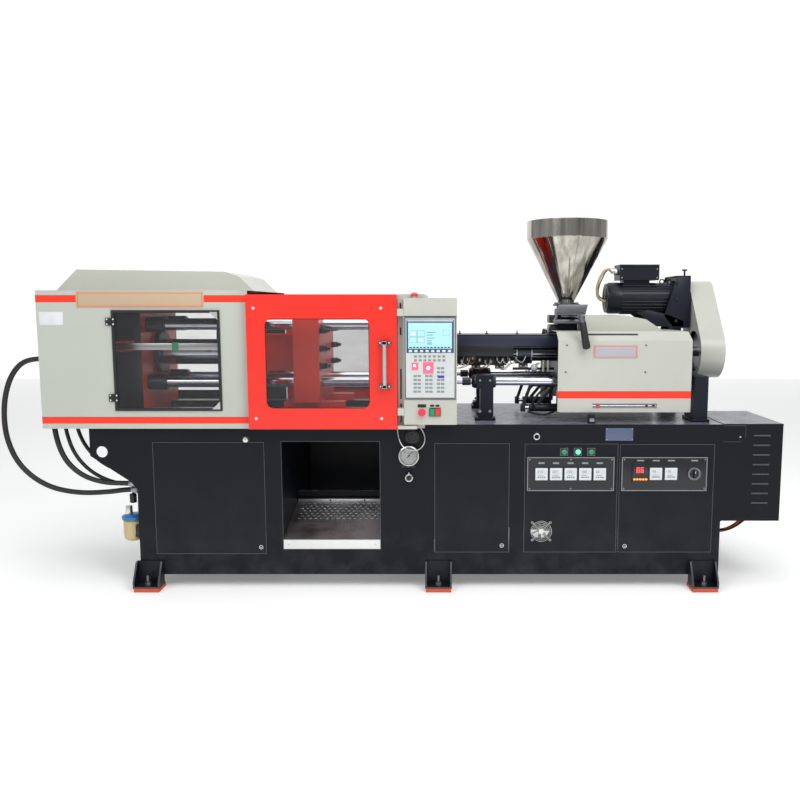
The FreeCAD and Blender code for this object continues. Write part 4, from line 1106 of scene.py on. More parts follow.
@dataclass
class BedTrim:
    """Edge lines, latches, hook, bare plate, bolts and gauge lines of the bed."""

    line: float = 0.0035
    sheet: float = 0.0016
    chute_x: tuple[float, float] = (-0.777, -0.201)
    chute_z: tuple[float, float] = (0.231, 0.877)
    tread_rows: int = 7
    tread_columns: int = 15
    bracket_x: tuple[float, ...] = (-1.56, 0.138, 1.69)
    latches: dict = field(default_factory=lambda: {
        Body.SERVICE_DOOR: (-0.905, 0.246), Body.MIDDLE_DOOR: (0.51, 0.256), Body.DRIVE_DOOR: (1.232, 0.252)})

    def build(self) -> None:
        """Build the bed's trim."""
        self.door_lines()
        self.rear_sheets()
        self.front_details()
        self.feet()
        self.gauge_lines()
        self.cabinet_lips()
        self.lubricator()
        self.cabinet_cables()

    def door_lines(self) -> None:
        """Lighter edge lines round the doors, painted highlight on their lips, and their quarter-turn latches."""
        for body in (Body.SERVICE_DOOR, Body.MIDDLE_DOOR, Body.HEATER_DOOR, Body.DRIVE_DOOR):
            low, high = span_box(body.value)
            edge = Shape("edge_line", "satin_metal", "black_plastic")
            # painted highlight: a lighter grey line along each door's edges
            outline(edge, (low.x, high.x), (low.z, high.z), self.line, (low.y - 0.0004, low.y + 0.004))
            if body in self.latches:
                x, z = self.latches[body]
                edge.bar((x, low.y + 0.001, z), (x, low.y - 0.004, z), 0.013, 0.012, 28, slot=1)
                edge.bar((x, low.y - 0.0035, z), (x, low.y - 0.0045, z), 0.009, sides=24, slot=2)
                edge.block((x - 0.006, low.y - 0.0065, z - 0.0015), (x + 0.006, low.y - 0.004, z + 0.0015), slot=1)
            edge.finish(body.value + "_edge", body)

    def rear_sheets(self) -> None:
        """Screwed cover sheets on the back of the bed, one behind each door and one behind the chute."""
        back = BED_BACK
        sheets = Shape("door_coat", "edge_line", "dull_steel")
        spans = [span_box(body.value) for body in (Body.SERVICE_DOOR, Body.MIDDLE_DOOR, Body.HEATER_DOOR,
                                                   Body.DRIVE_DOOR)]
        spans.append((Vector((self.chute_x[0], 0.0, self.chute_z[0])),
                      Vector((self.chute_x[1], 0.0, self.chute_z[1]))))
        for low, high in spans:
            wide, tall = (low.x + 0.004, high.x - 0.004), (low.z + 0.004, high.z - 0.004)
            outside = back + self.sheet
            sheets.block((wide[0], back, tall[0]), (wide[1], outside, tall[1]), 0.0006)
            outline(sheets, wide, tall, 0.002, (outside, outside + 0.0003), 1)
            for x in (low.x + 0.02, (low.x + high.x) / 2, high.x - 0.02):
                for z in (low.z + 0.02, high.z - 0.02):
                    sheets.bar((x, outside, z), (x, outside + 0.003, z), 0.0055, 0.005, 24, slot=2)
        sheets.finish("rear_sheets", Body.BED)

    def front_details(self) -> None:
        """Knob, hook, bare data plate, tab edge and chute edge on the front sheet."""
        face = BED_FRONT
        small = Shape("satin_metal", "black_plastic", "plate_blue", "edge_line")
        x, z = -0.975, 0.888
        small.block((x - 0.022, face - 0.006, z - 0.02), (x + 0.022, face, z + 0.02), 0.003, 1)
        small.bar((x, face - 0.005, z), (x, face - 0.026, z), 0.017, 0.015, 28, 0.002)
        small.ring((0.706, face - 0.009, 0.905), (0, 1, 0), 0.016, 0.0035)
        small.block((0.694, face - 0.008, 0.918), (0.718, face, 0.934), 0.002, 1)
        small.block((1.106, face - 0.0018, 0.88), (1.265, face, 0.954), 0.0006, 2)
        screws(small, [(px, face - 0.0018, pz) for px in (1.112, 1.259) for pz in (0.886, 0.948)], 0.003, 0.001)
        small.block((-0.076, face - 0.002, 0.722), (0.0, face, 0.746), 0.0006, 1)
        outline(small, self.chute_x, self.chute_z, 0.003, (face - 0.0006, face), 3)
        small.block((1.79, face - 0.0006, 0.966), (1.918, face + 0.001, 0.9695), slot=3)
        small.block((1.9155, face - 0.0006, 0.893), (1.918, face + 0.001, 0.966), slot=3)
        small.block((1.79, face - 0.0006, 0.872), (1.898, face + 0.001, 0.8745), slot=3)
        screws(small, [(1.886, face, 0.902)], 0.006, 0.003)
        small.finish("bed_front_details", Body.BED)
        chute_low, chute_high = span_box("drop_chute")
        tray = Shape("tray_metal", "black_plastic", "white_sheet")
        rise = (0.41 - 0.287) / 0.48          # slope of the chute's tray
        for row in range(self.tread_rows):
            y = -0.255 + row * 0.03
            for column in range(self.tread_columns):
                x = chute_low.x + 0.045 + column * 0.035 + (0.0175 if row % 2 else 0.0)
                tray.dome((x, y, 0.2905 + (y + 0.5) * rise), (0.012, 0.005, 0.0022), sides=8)
        strip_y = chute_high.y - 0.045
        strip_z = 0.2905 + (strip_y + 0.5) * rise
        tray.block((chute_low.x + 0.004, strip_y, strip_z), (chute_high.x - 0.004, strip_y + 0.022, strip_z + 0.016),
                   0.001)
        for x in (-0.56, -0.34):
            tray.bar((x, strip_y - 0.0005, strip_z + 0.008), (x, strip_y - 0.004, strip_z + 0.008), 0.006, sides=6,
                     slot=1)
        tray.block((chute_low.x + 0.002, face - 0.0012, 0.2345), (chute_high.x - 0.002, face, 0.288), 0.0004, 2)
        screws(tray, [(x, face - 0.0012, 0.262) for x in (-0.745, -0.232)], 0.005, 0.002)
        tray.finish("chute_tread", Body.BED)

    def feet(self) -> None:
        """Holding bolts, washers and lighter strips along the brackets' edges."""
        bolts = Shape("dull_steel", "edge_line", "satin_metal")
        for x in self.bracket_x:
            for side in SIDES:
                y = side * 0.556
                bolts.bar((x, y, 0.034), (x, y, 0.038), 0.022, sides=28)
                bolts.bar((x, y, 0.038), (x, y, 0.054), 0.018, sides=6)
                bolts.bar((x, y, 0.054), (x, y, 0.094), 0.01, sides=20, bevel=0.002)
                front = side * 0.5905
                plate = sorted((side * 0.59, side * 0.5875))
                bolts.block((x - 0.078, plate[0] - 0.0004, 0.0245), (x + 0.078, plate[1] + 0.0004, 0.0335), slot=1)
                for edge in (x - 0.078, x + 0.068):
                    bolts.plate([(edge, front, 0.034), (edge + 0.01, front, 0.034), (edge + 0.01, front, 0.059),
                                 (edge, front, 0.059)], (0, -side * 0.0006, 0), slot=1)
                    bolts.plate([(edge, front, 0.059), (edge + 0.01, front, 0.059),
                                 (edge + 0.01, side * 0.53, 0.1655), (edge, side * 0.53, 0.1655)], (0, 0, 0.0006),
                                slot=1)
        bolts.finish("foot_bolts", Body.BED)

    def gauge_lines(self) -> None:
        """Capillary lines over the gauge, the dark hose end behind them and the valve's ring."""
        gauge = span_box("pressure_gauge")
        x = (gauge[0].x + gauge[1].x) / 2
        lines = Shape("satin_metal", "black_plastic", "stop_red", "hose_rubber")
        lines.wire([(x - 0.066, -0.512, 0.958), (x - 0.064, -0.516, 0.92), (x - 0.05, -0.528, 0.872),
                    (x - 0.022, -0.54, 0.838), (x + 0.02, -0.543, 0.827), (x + 0.062, -0.54, 0.833),
                    (x + 0.09, -0.53, 0.866), (x + 0.094, -0.518, 0.905), (x + 0.078, -0.514, 0.945),
                    (x + 0.066, -0.512, 0.958)], 0.003)
        lines.bar((x + 0.02, -0.5005, 0.905), (x + 0.02, -0.52, 0.905), 0.048, 0.042, 40, 0.004, slot=3)
        lines.ring((x + 0.02, -0.52, 0.905), (0, 1, 0), 0.03, 0.007, slot=3)
        z = gauge[0].z + 0.023
        lines.ring((x, -0.526, z), (0, 1, 0), 0.0195, 0.0035)
        lines.bar((x, -0.5255, z), (x, -0.534, z), 0.014, 0.012, 28, 0.002, slot=1)
        lines.bar((x, -0.53, z + 0.02), (x, -0.53, z + 0.033), 0.004, sides=16)
        lines.finish("gauge_lines", Body.BED)

    def cabinet_lips(self) -> None:
        """Pressed hoods over the louvres and the folded lid of the side cabinet."""
        low, high = span_box("side_cabinet")
        lips = Shape("edge_line", "bed_coat")
        for i in range(8):
            z = 0.905 - 0.057 * i
            lips.bar((1.965, low.y + 0.001, z + 0.004), (2.062, low.y + 0.001, z + 0.004), 0.0055, sides=16)
        lips.block((low.x + 0.128, low.y - 0.002, high.z - 0.016), (high.x, low.y, high.z - 0.0005), 0.0005, 1)
        lips.finish("cabinet_lips", Body.BED)

    def lubricator(self) -> None:
        """Oil reservoir with its cap and knob on the left end of the bed."""
        wall = span_box("service_door")[0].x - 0.098
        x, y = wall - 0.068, -0.405
        tank = Shape("tank_beige", "cap_blue", "satin_metal", "black_plastic")
        profile = [(0.0, 0.0), (0.04, 0.0), (0.054, 0.012), (0.058, 0.05), (0.058, 0.118), (0.05, 0.13), (0.0, 0.13)]
        tank.lathe(profile, (x, y, 0.266), (0, 0, 1), 40)
        tank.block((x + 0.012, y - 0.05, 0.29), (wall, y + 0.05, 0.37), 0.008, 3)
        tank.lathe([(0.0, 0.0), (0.066, 0.0), (0.066, 0.016), (0.046, 0.026), (0.0, 0.026)], (x, y, 0.396), (0, 0, 1),
                   40, 1)
        tank.bar((x - 0.02, y - 0.01, 0.42), (x - 0.02, y - 0.01, 0.474), 0.021, 0.019, 24, 0.003, slot=2)
        tank.bar((x + 0.004, y, 0.49), (x + 0.004, y, 0.545), 0.02, sides=24, bevel=0.004, slot=3)
        tank.wire([(x + 0.03, y, 0.42), (x + 0.034, y, 0.5), (x + 0.038, y - 0.006, 0.56), (x + 0.052, y - 0.01, 0.6),
                   (wall, y - 0.01, 0.615)], 0.0035, 2)
        tank.wire([(x + 0.004, y, 0.54), (x + 0.006, y, 0.555), (x + 0.03, y, 0.565), (wall, y, 0.565)], 0.006, 3)
        tank.finish("lubricator", Body.BED)

    def cabinet_cables(self) -> None:
        """Conduits from the bed's right end up into the side cabinet."""
        low = span_box("side_cabinet")[0]
        bed = low.x
        cables = Shape("orange_sheath", "black_plastic")
        cables.wire([(bed, -0.36, 0.306), (bed + 0.05, -0.36, 0.302), (bed + 0.12, -0.36, 0.325),
                     (bed + 0.175, -0.36, 0.37), (bed + 0.205, -0.36, low.z)], 0.011, 0)
        cables.wire([(bed, -0.33, 0.35), (bed + 0.04, -0.33, 0.352), (bed + 0.085, -0.33, 0.375),
                     (bed + 0.105, -0.33, low.z)], 0.008, 1)
        cables.wire([(bed, -0.395, 0.316), (bed + 0.06, -0.395, 0.312), (bed + 0.13, -0.392, 0.338),
                     (bed + 0.18, -0.39, 0.378), (bed + 0.215, -0.388, low.z)], 0.006, 1)
        for x, y in ((bed + 0.206, -0.36), (bed + 0.105, -0.33), (bed + 0.216, -0.388)):
            cables.bar((x, y, low.z - 0.018), (x, y, low.z), 0.017, sides=6, slot=1)
        cables.finish("cabinet_cables", Body.BED)


@dataclass
class Instruments:
    """Controllers, displays, lamps, switch, fan guard and dial on the doors."""

    controller_x: tuple[float, ...] = (0.736, 0.8205, 0.905, 0.9895, 1.074)
    centre_z: float = 0.686
    tile: float = 0.072
    lamp_x: tuple[float, ...] = (0.866, 0.946, 1.023)
    lamp_z: float = 0.816
    heater_y: float = -0.506
    drive_y: float = -0.502
    plate_z: tuple[float, float] = (0.584, 0.784)
    screw_z: tuple[float, float] = (0.598, 0.77)
    switch_x: float = 1.625
    readings: tuple[str, ...] = ("210", "205", "200", "190", "60")

    def build(self) -> None:
        """Build the instruments."""
        self.heater_face()
        self.drive_face()
        self.lamps()
        self.fan_guard()
        self.dial()

    def controller(self, shape: Shape, x: float, y: float, reading: str) -> None:
        """Add one controller's face.

        Args:
            shape: with slots white, dark glass, orange digits and grey keys.
            x: its middle.
            y: plane of its face.
            reading: number that it shows.
        """
        half = self.tile / 2
        z = self.centre_z
        shape.block((x - half, y - 0.006, z - half), (x + half, y - 0.0002, z + half), 0.003)
        shape.block((x - half + 0.011, y - 0.0068, z - 0.002), (x + half - 0.011, y - 0.0055, z + half - 0.01),
                    0.0005, 1)
        digits(shape, reading, x - half + 0.015, z + 0.008, 0.014, y - 0.0074, 2)
        shape.block((x - half + 0.015, y - 0.0074, z - 0.008), (x + half - 0.024, y - 0.006, z - 0.006), slot=3)
        for i in range(4):
            left = x - half + 0.012 + i * 0.0125
            shape.block((left, y - 0.0072, z - half + 0.014), (left + 0.009, y - 0.0055, z - half + 0.022), 0.0005, 3)

    def heater_face(self) -> None:
        """Five temperature controllers, the plate's frame, screws and small marks."""
        face = self.heater_y
        shape = Shape("white_plastic", "dial_white", "key_grey", "key_grey", "frame_grey")
        for x, reading in zip(self.controller_x, self.readings):
            self.controller(shape, x, face - 0.008, reading)
            shape.block((x - 0.018, face - 0.0012, 0.744), (x + 0.018, face, 0.754), slot=3)
        outline(shape, (0.654, 1.16), self.plate_z, 0.005, (face - 0.001, face), 4)
        screws(shape, [(x, face - 0.001, z) for x in (0.668, 0.907, 1.146) for z in self.screw_z], 0.006, 0.0025, 4)
        shape.finish("heater_controllers", Body.HEATER_DOOR)

    def drive_face(self) -> None:
        """Drive display, two controllers and the switch plate on the right-hand door."""
        face = self.drive_y
        shape = Shape("white_plastic", "dial_white", "key_grey", "key_grey", "frame_grey", "digit_red", "black_steel",
                      "glass_dark", "digit_orange")
        shape.block((1.203, face - 0.004, self.plate_z[0]), (1.7, face, self.plate_z[1]), 0.001, 6)
        outline(shape, (1.203, 1.7), self.plate_z, 0.005, (face - 0.005, face - 0.004), 4)
        front = face - 0.004
        screws(shape, [(x, front - 0.001, z) for x in (1.217, 1.686) for z in self.screw_z], 0.006, 0.0025, 4)
        shape.block((1.262, front - 0.01, 0.628), (1.36, front, 0.752), 0.004, 6)
        shape.block((1.272, front - 0.0105, 0.682), (1.352, front - 0.009, 0.738), 0.001, 7)
        digits(shape, "06", 1.288, 0.694, 0.032, front - 0.0112, 5)
        for i in range(5):
            shape.block((1.27 + i * 0.017, front - 0.0115, 0.65), (1.282 + i * 0.017, front - 0.009, 0.66), 0.001, 8)
        for x in (1.402, 1.49):
            self.controller(shape, x, front - 0.0004, "45")
        for x in (1.311, 1.402, 1.49, self.switch_x):
            shape.block((x - 0.02, front - 0.0012, 0.76), (x + 0.02, front, 0.768), slot=3)
        shape.finish("drive_instruments", Body.DRIVE_DOOR)
        plate = Shape("dull_steel", "white_plastic")
        plate.lathe([(0.026, 0.0), (0.04, 0.0), (0.038, 0.006), (0.026, 0.006), (0.026, 0.0)],
                    (self.switch_x, front, self.centre_z), (0, -1, 0), 40)
        plate.finish("switch_ring", Body.DRIVE_DOOR)
        mark = Shape("white_plastic")
        mark.block((1.6235, -0.5325, 0.692), (1.6265, -0.5318, 0.706))
        mark.finish("switch_mark", Body.SELECTOR)

    def lamps(self) -> None:
        """Pilot lamps: one lit, and two unlit lenses with a faint painted glow."""
        face = self.heater_y
        looks = ("lens_green", "lens_green_bright", "lens_green")
        for index, (x, look) in enumerate(zip(self.lamp_x, looks)):
            lens = Shape(look, "dull_steel", "white_plastic")
            lens.lathe([(0.0, 0.013), (0.008, 0.012), (0.013, 0.008), (0.014, 0.0)], (x, face - 0.006, self.lamp_z),
                       (0, -1, 0), 28)
            outline(lens, (x - 0.023, x + 0.023), (self.lamp_z - 0.023, self.lamp_z + 0.023), 0.003,
                    (face - 0.001, face), 1)
            lens.lathe([(0.0145, 0.0), (0.018, 0.0), (0.017, 0.005), (0.0145, 0.005), (0.0145, 0.0)],
                       (x, face, self.lamp_z), (0, -1, 0), 28, 1)
            lens.finish(f"pilot_lamp_{index + 1}", Body.HEATER_DOOR)

    def fan_guard(self) -> None:
        """Wire finger guard with rings, four spokes and corner screws."""
        x, z, y = 0.74, 0.343, -0.508
        guard = Shape("satin_metal", "dull_steel")
        for radius in (0.022, 0.032, 0.042, 0.052, 0.061):
            guard.ring((x, y, z), (0, 1, 0), radius, 0.0014)
        guard.bar((x, y + 0.001, z), (x, y - 0.002, z), 0.016, sides=28)
        reach = 0.0525
        for sx in (-1, 1):
            for sz in (-1, 1):
                corner = (x + sx * reach, y + 0.0015, z + sz * reach)
                guard.bar((x + sx * 0.01, y + 0.0015, z + sz * 0.01), corner, 0.0018, sides=8)
                guard.ring(corner, (0, 1, 0), 0.006, 0.0016, steps=20)
                guard.bar((corner[0], -0.502, corner[2]), (corner[0], y - 0.002, corner[2]), 0.0045, 0.0035, 12,
                          slot=1)
        guard.finish("fan_guard", Body.HEATER_DOOR)

    def dial(self) -> None:
        """Dial with ticks, bezel and glass."""
        low, high = span_box("pressure_gauge")
        x, z, radius = (low.x + high.x) / 2, high.z - 0.058, 0.052
        floor = -0.526
        dial = Shape("dial_white", "black_plastic", "plain_red", "satin_metal")
        dial.bar((x, floor + 0.0002, z), (x, floor - 0.0008, z), radius - 0.0005, sides=64)
        for i in range(31):
            angle = math.radians(225 - 9 * i)
            way = Vector((math.cos(angle), 0, math.sin(angle)))
            middle = Vector((x, floor - 0.001, z))
            deep = 0.009 if i % 5 == 0 else 0.005
            dial.bar(middle + way * (radius - 0.004), middle + way * (radius - 0.004 - deep),
                     0.0007 if i % 5 else 0.0011, sides=6, slot=1)
        for i in range(7):
            angle = math.radians(225 - 45 * i)
            digits(dial, str(i), x + math.cos(angle) * 0.032 - 0.0018, z + math.sin(angle) * 0.032 - 0.0035, 0.007,
                   floor - 0.0014, 1)
        dial.lathe([(radius, 0.0), (radius + 0.0065, 0.0), (radius + 0.0062, 0.004), (radius + 0.002, 0.006),
                    (radius, 0.003), (radius, 0.0)], (x, -0.534, z), (0, -1, 0), 64, 3)
        dial.finish("gauge_dial", Body.BED)
        glass = Shape("clear_pane")
        glass.bar((x, -0.5345, z), (x, -0.5355, z), radius, sides=48)
        glass.finish("gauge_glass", Body.BED)


@dataclass
class PanelFace:
    """Screen, key field, lamps, labels and edges of the swinging control panel."""

    display_x: tuple[float, float] = (-0.03, 0.214)
    display_z: tuple[float, float] = (1.418, 1.562)
    row_pitch: float = 0.022
    collar: float = 0.006
    body: Body = Body.PANEL

    def build(self) -> None:
        """Build the panel's face."""
        low, high = span_box("panel_screen")
        y = low.y
        rim = Shape("edge_line", "key_panel", "screen_blue", "screen_light", "screen_pink", "white_plastic",
                    "key_grey", "key_glow", "key_lamp", "key_blue", "cover_coat")
        outline(rim, (low.x - 0.004, high.x + 0.004), (low.z - 0.004, high.z + 0.004), 0.005, (y - 0.001, y + 0.007))
        rim.block((low.x + 0.006, y - 0.0012, 1.394), (high.x - 0.006, y, 1.58), 0.0004, 2)
        rim.block((self.display_x[0], y - 0.0022, self.display_z[0]),
                  (self.display_x[1], y - 0.001, self.display_z[1]), 0.0, 3)
        rim.block((low.x + 0.012, y - 0.0018, 1.57), (high.x - 0.012, y - 0.001, 1.577), 0.0, 1)
        self.picture(rim, y - 0.0024)
        self.keys(rim, y)
        rim.finish("panel_face", self.body)
        self.housing()

    def picture(self, shape: Shape, y: float) -> None:
        """Add the boxes and bars that the screen shows.

        Args:
            shape: the panel's face.
            y: plane of the picture.
        """
        left, top = self.display_x[0] + 0.008, self.display_z[1] - 0.04
        for i in range(2):
            for j in range(2):
                x, z = left + 0.043 * i, top - 0.036 * (j + 1)
                outline(shape, (x, x + 0.04), (z, z + 0.033), 0.0012, (y, y + 0.0005), 2)
                if (i + j) % 2 == 0:
                    shape.block((x + 0.012, y, z + 0.01), (x + 0.028, y + 0.0005, z + 0.022), slot=4)
        for i, width in enumerate((0.05, 0.036, 0.044, 0.028)):
            z = top - 0.014 - 0.016 * i
            shape.block((left + 0.095, y, z), (left + 0.095 + width, y + 0.0005, z + 0.003), slot=2)
        outline(shape, (self.display_x[1] - 0.05, self.display_x[1] - 0.01), (top - 0.03, top), 0.001,
                (y, y + 0.0005), 2)
        digits(shape, "365", left + 0.098, self.display_z[0] + 0.022, 0.013, y, 2)
        for i in range(12):
            x = self.display_x[0] + 0.006 + 0.0195 * i
            shape.block((x, y, self.display_z[0] + 0.003), (x + 0.014, y + 0.0005, self.display_z[0] + 0.01), slot=2)

    def keys(self, shape: Shape, y: float) -> None:
        """Add the function keys and the key field.

        Args:
            shape: the panel's face.
            y: plane of the key field.
        """
        for i in range(8):
            x = self.display_x[0] + 0.012 + 0.0312 * i
            shape.block((x - 0.009, y - 0.0026, 1.398), (x + 0.009, y - 0.001, 1.411), 0.002, 5)
        for row in range(2):
            for i in range(7):
                x = 0.01 + 0.0265 * i
                z = 1.368 - self.row_pitch * row
                shape.block((x - 0.0085, y - 0.0012, z), (x + 0.0085, y, z + 0.013), 0.001, 6)
        for group in range(3):
            for column in range(2):
                x = -0.002 + 0.066 * group + 0.023 * column
                for row in range(2 if group < 2 else 0, 7):
                    z = 1.308 - self.row_pitch * row
                    shape.block((x, y - 0.0012, z - 0.006), (x + 0.019, y, z + 0.006), 0.001, 6)
        shape.block((-0.012, y - 0.0011, 1.296), (0.026, y, 1.34), 0.004, 7)
        shape.block((0.052, y - 0.0011, 1.276), (0.112, y, 1.342), 0.006, 7)
        shape.bar((0.005, y - 0.001, 1.322), (0.005, y - 0.003, 1.322), 0.008, 0.006, 20, slot=8)
        shape.bar((0.082, y - 0.001, 1.309), (0.082, y - 0.003, 1.309), 0.011, 0.008, 24, slot=8)
        shape.ring((0.082, y - 0.001, 1.309), (0, 1, 0), 0.018, 0.0025, 7)
        shape.block((0.135, y - 0.002, 1.253), (0.172, y - 0.001, 1.266), 0.002, 9)

    def housing(self) -> None:
        """Groove, labels, button collars, top lamp and rounded edges of the housing."""
        low, high = span_box("control_panel")
        face = low.y
        parts = Shape("edge_line", "black_plastic", "stop_red", "satin_metal", "cover_coat")
        parts.block((low.x + 0.002, face - 0.0008, 1.594), (high.x - 0.002, face, 1.6))
        parts.block((low.x + 0.002, face - 0.0008, 1.128), (high.x - 0.002, face, 1.1305))
        stop = span_box("stop_button")
        x = (stop[0].x + stop[1].x) / 2
        z = (stop[0].z + stop[1].z) / 2
        parts.block((x - 0.024, face - 0.0012, z + 0.026), (x + 0.024, face, z + 0.044), 0.0004, 1)
        parts.lathe([(0.0095, 0.0), (0.021, 0.0), (0.019, 0.006), (0.0095, 0.006), (0.0095, 0.0)], (x, face, z),
                    (0, -1, 0), 32, 3)
        start, halt = span_box("start_button"), span_box("halt_button")
        outline(parts, (start[0].x - 0.004, halt[1].x + 0.004), (start[0].z - 0.004, start[1].z + 0.004), 0.003,
                (face - self.collar, face), 1)
        parts.block((start[1].x + 0.001, face - self.collar, start[0].z - 0.001),
                    (halt[0].x - 0.001, face, start[1].z + 0.001), slot=1)
        for button in (start, halt):
            parts.block((button[0].x + 0.001, face - 0.0012, button[1].z + 0.01),
                        (button[1].x - 0.003, face, button[1].z + 0.022), 0.0004, 1)
        lamp_x, lamp_y = low.x + 0.06, (low.y + high.y) / 2
        parts.bar((lamp_x, lamp_y, high.z), (lamp_x, lamp_y, high.z + 0.01), 0.014, sides=28, slot=3)
        parts.lathe([(0.0, 0.024), (0.012, 0.022), (0.021, 0.015), (0.022, 0.006), (0.016, 0.0), (0.0, 0.0)],
                    (lamp_x, lamp_y, high.z + 0.008), (0, 0, 1), 32, 2)
        parts.finish("panel_trim", self.body)
        self.hinge_strip()

    def hinge_strip(self) -> None:
        """Slots down the portal's edge and the panel's lower hinge foot."""
        x, y = -0.08, PORTAL_FRONT
        strip = Shape("black_plastic", "cover_coat")
        for z0, z1 in ((0.992, 1.1), (1.128, 1.3), (1.492, 1.535), (1.6, 1.672)):
            strip.block((x, y - 0.0008, z0), (x + 0.009, y, z1), 0.0, 0)
        strip.block((-0.092, -0.6, 0.961), (0.02, -0.533, 0.98), 0.006, 1)
        strip.finish("hinge_strip", Body.BED)


@dataclass
class InjectionUnit:
    """Trim of the injection unit: hood, barrel, heaters, hopper, motor and carriage drive."""

    seed: int = 7
    wing_screws: tuple[float, ...] = (0.27, 0.44, 0.632, 0.8)
    skirt_end: float = 0.6
    band_pitch: float = 0.15
    band_radius: float = 0.076
    waist: float = 2.068
    guard_left: float = 1.75
    bolt: tuple[float, float] = (1.715, 0.12)

    def build(self) -> None:
        """Build all the unit's parts."""
        self.hood()
        self.barrel()
        self.hopper()
        self.motor()
        self.bracket()
        self.guard()
        self.pedestals()
        self.drive_struts()

    def hood(self) -> None:
        """Stripe, bare plate, screws, shoulder slot and position pointer."""
        low, high = span_box("injection_hood")
        face = low.y
        trim = Shape("stripe_red", "plate_silver", "black_plastic", "hard_chrome", "stop_red", "dull_steel",
                     "cover_coat")
        trim.block((low.x, face - 0.0008, 1.117), (high.x, face, 1.16))
        trim.block((low.x, high.y, 1.117), (high.x, high.y + 0.0008, 1.16))
        trim.block((1.039, face - 0.002, 1.352), (1.298, face, 1.43), 0.0005, 1)
        outline(trim, (1.045, 1.292), (1.358, 1.424), 0.0025, (face - 0.0024, face - 0.002), 0)
        screws(trim, [(x, face, z) for x, z in ((0.885, 1.428), (1.345, 1.428), (0.88, 1.272), (1.345, 1.272))],
               0.006, 0.003, 5)
        for z0 in (1.06, 1.083):
            trim.block((1.04, face - 0.0015, z0), (1.418, face, z0 + 0.003), 0.0, 5)
        trim.bar((1.036, face + 0.012, 1.073), (1.422, face + 0.012, 1.073), 0.006, sides=16, slot=3)
        trim.bar((1.074, face + 0.01, 1.073), (1.074, face - 0.01, 1.073), 0.011, 0.009, 24, 0.002, slot=4)
        for x in (1.352, 1.392):
            trim.block((x, face - 0.002, 1.067), (x + 0.014, face + 0.006, 1.079), 0.001, 2)
        trim.plate([(1.01, face + 0.052, 1.4835), (1.31, face + 0.052, 1.4835), (1.31, face + 0.068, 1.4925),
                    (1.01, face + 0.068, 1.4925)], (0, -0.0006, 0.0012), slot=2)
        trim.finish("hood_trim", Body.CARRIAGE)
        edge = Shape("cover_coat")
        for x in (low.x, high.x - 0.012):
            edge.block((x, face - 0.0005, low.z), (x + 0.012, face + 0.004, 1.455), 0.001)
        edge.block((low.x, face - 0.0005, low.z), (high.x, face + 0.004, low.z + 0.003), 0.001)
        edge.finish("hood_folds", Body.CARRIAGE)

    def barrel(self) -> None:
        """Wing screws on the cover, band clamps, terminals and loose leads under the barrel."""
        low, high = span_box("barrel_cover")
        trim = Shape("black_steel", "satin_metal", "ceramic", "copper", "white_plastic", "dull_steel",
                     "hammered_blue")
        for x in self.wing_screws:
            trim.bar((x, 0, high.z - 0.001), (x, 0, high.z + 0.022), 0.005, 0.003, 16)
            trim.bar((x, 0, high.z), (x, 0, high.z + 0.006), 0.011, sides=6)
        for y in ((low.y - 0.0015, low.y), (high.y, high.y + 0.0015)):
            trim.block((low.x, y[0], low.z), (self.skirt_end, y[1], 1.4075), 0.0005)
            trim.block((self.skirt_end, y[0], 1.397), (high.x, y[1], 1.4035), 0.0005)
            trim.block((low.x + 0.002, y[0] + 0.0004, 1.409), (high.x - 0.002, y[1] - 0.0004, 1.474), 0.0004, 6)
        trim.block((low.x + 0.002, low.y + 0.004, high.z), (high.x - 0.002, high.y - 0.004, high.z + 0.001), 0.0004,
                   6)
        self.terminal_row(trim, low)
        bands = span_box("heater_bands")
        rng = random.Random(self.seed)
        axis_z = bands[1].z - self.band_radius
        trim.block((0.605, -0.072, axis_z - 0.016), (0.872, -0.066, axis_z - 0.008), 0.001, 1)
        for i in range(4):
            x = bands[0].x + self.band_pitch * i
            for edge in (x + 0.004, x + 0.097):
                trim.lathe([(0.0765, 0.0), (0.079, 0.0), (0.079, 0.005), (0.0765, 0.005), (0.0765, 0.0)],
                           (edge, 0, axis_z), (1, 0, 0), 40, 1)
            for offset in (0.036, 0.066):
                post = (x + offset, -0.026, bands[0].z + 0.014)
                trim.bar(post, (post[0], post[1] - 0.018, post[2]), 0.009, sides=20, bevel=0.002, slot=2)
                trim.bar((post[0], post[1] - 0.017, post[2]), (post[0], post[1] - 0.026, post[2]), 0.005, sides=6,
                         slot=1)
            for _ in range(3):
                start = Vector((x + rng.uniform(0.03, 0.075), -0.046, bands[0].z + 0.014))
                sag = rng.uniform(0.006, 0.03)
                reach = rng.uniform(0.05, 0.1)
                route = [start, start + Vector((0.015, -0.012, -sag)),
                         start + Vector((reach * 0.5, -0.02, -sag * 0.8)), start + Vector((reach, -0.015, sag * 0.6)),
                         start + Vector((reach + 0.02, 0.0, 0.025))]
                trim.wire(route, 0.0024, rng.choice((2, 2, 4, 3)))
        trim.block((0.6, -0.085, axis_z - 0.11), (0.86, -0.07, axis_z - 0.095), 0.002, 0)
        trim.dome((0.735, -0.075, axis_z - 0.098), (0.024, 0.024, 0.024), 4, 16)
        for x in (0.79, 0.82):
            trim.bar((x, -0.09, axis_z - 0.12), (x, -0.09, axis_z - 0.05), 0.007, sides=16, slot=2)
        for z in (-0.03, 0.012, 0.034):
            trim.bar((0.605, -0.064, axis_z + z), (0.879, -0.064, axis_z + z), 0.0045, sides=12, slot=5)
        trim.finish("barrel_fittings", Body.CARRIAGE)

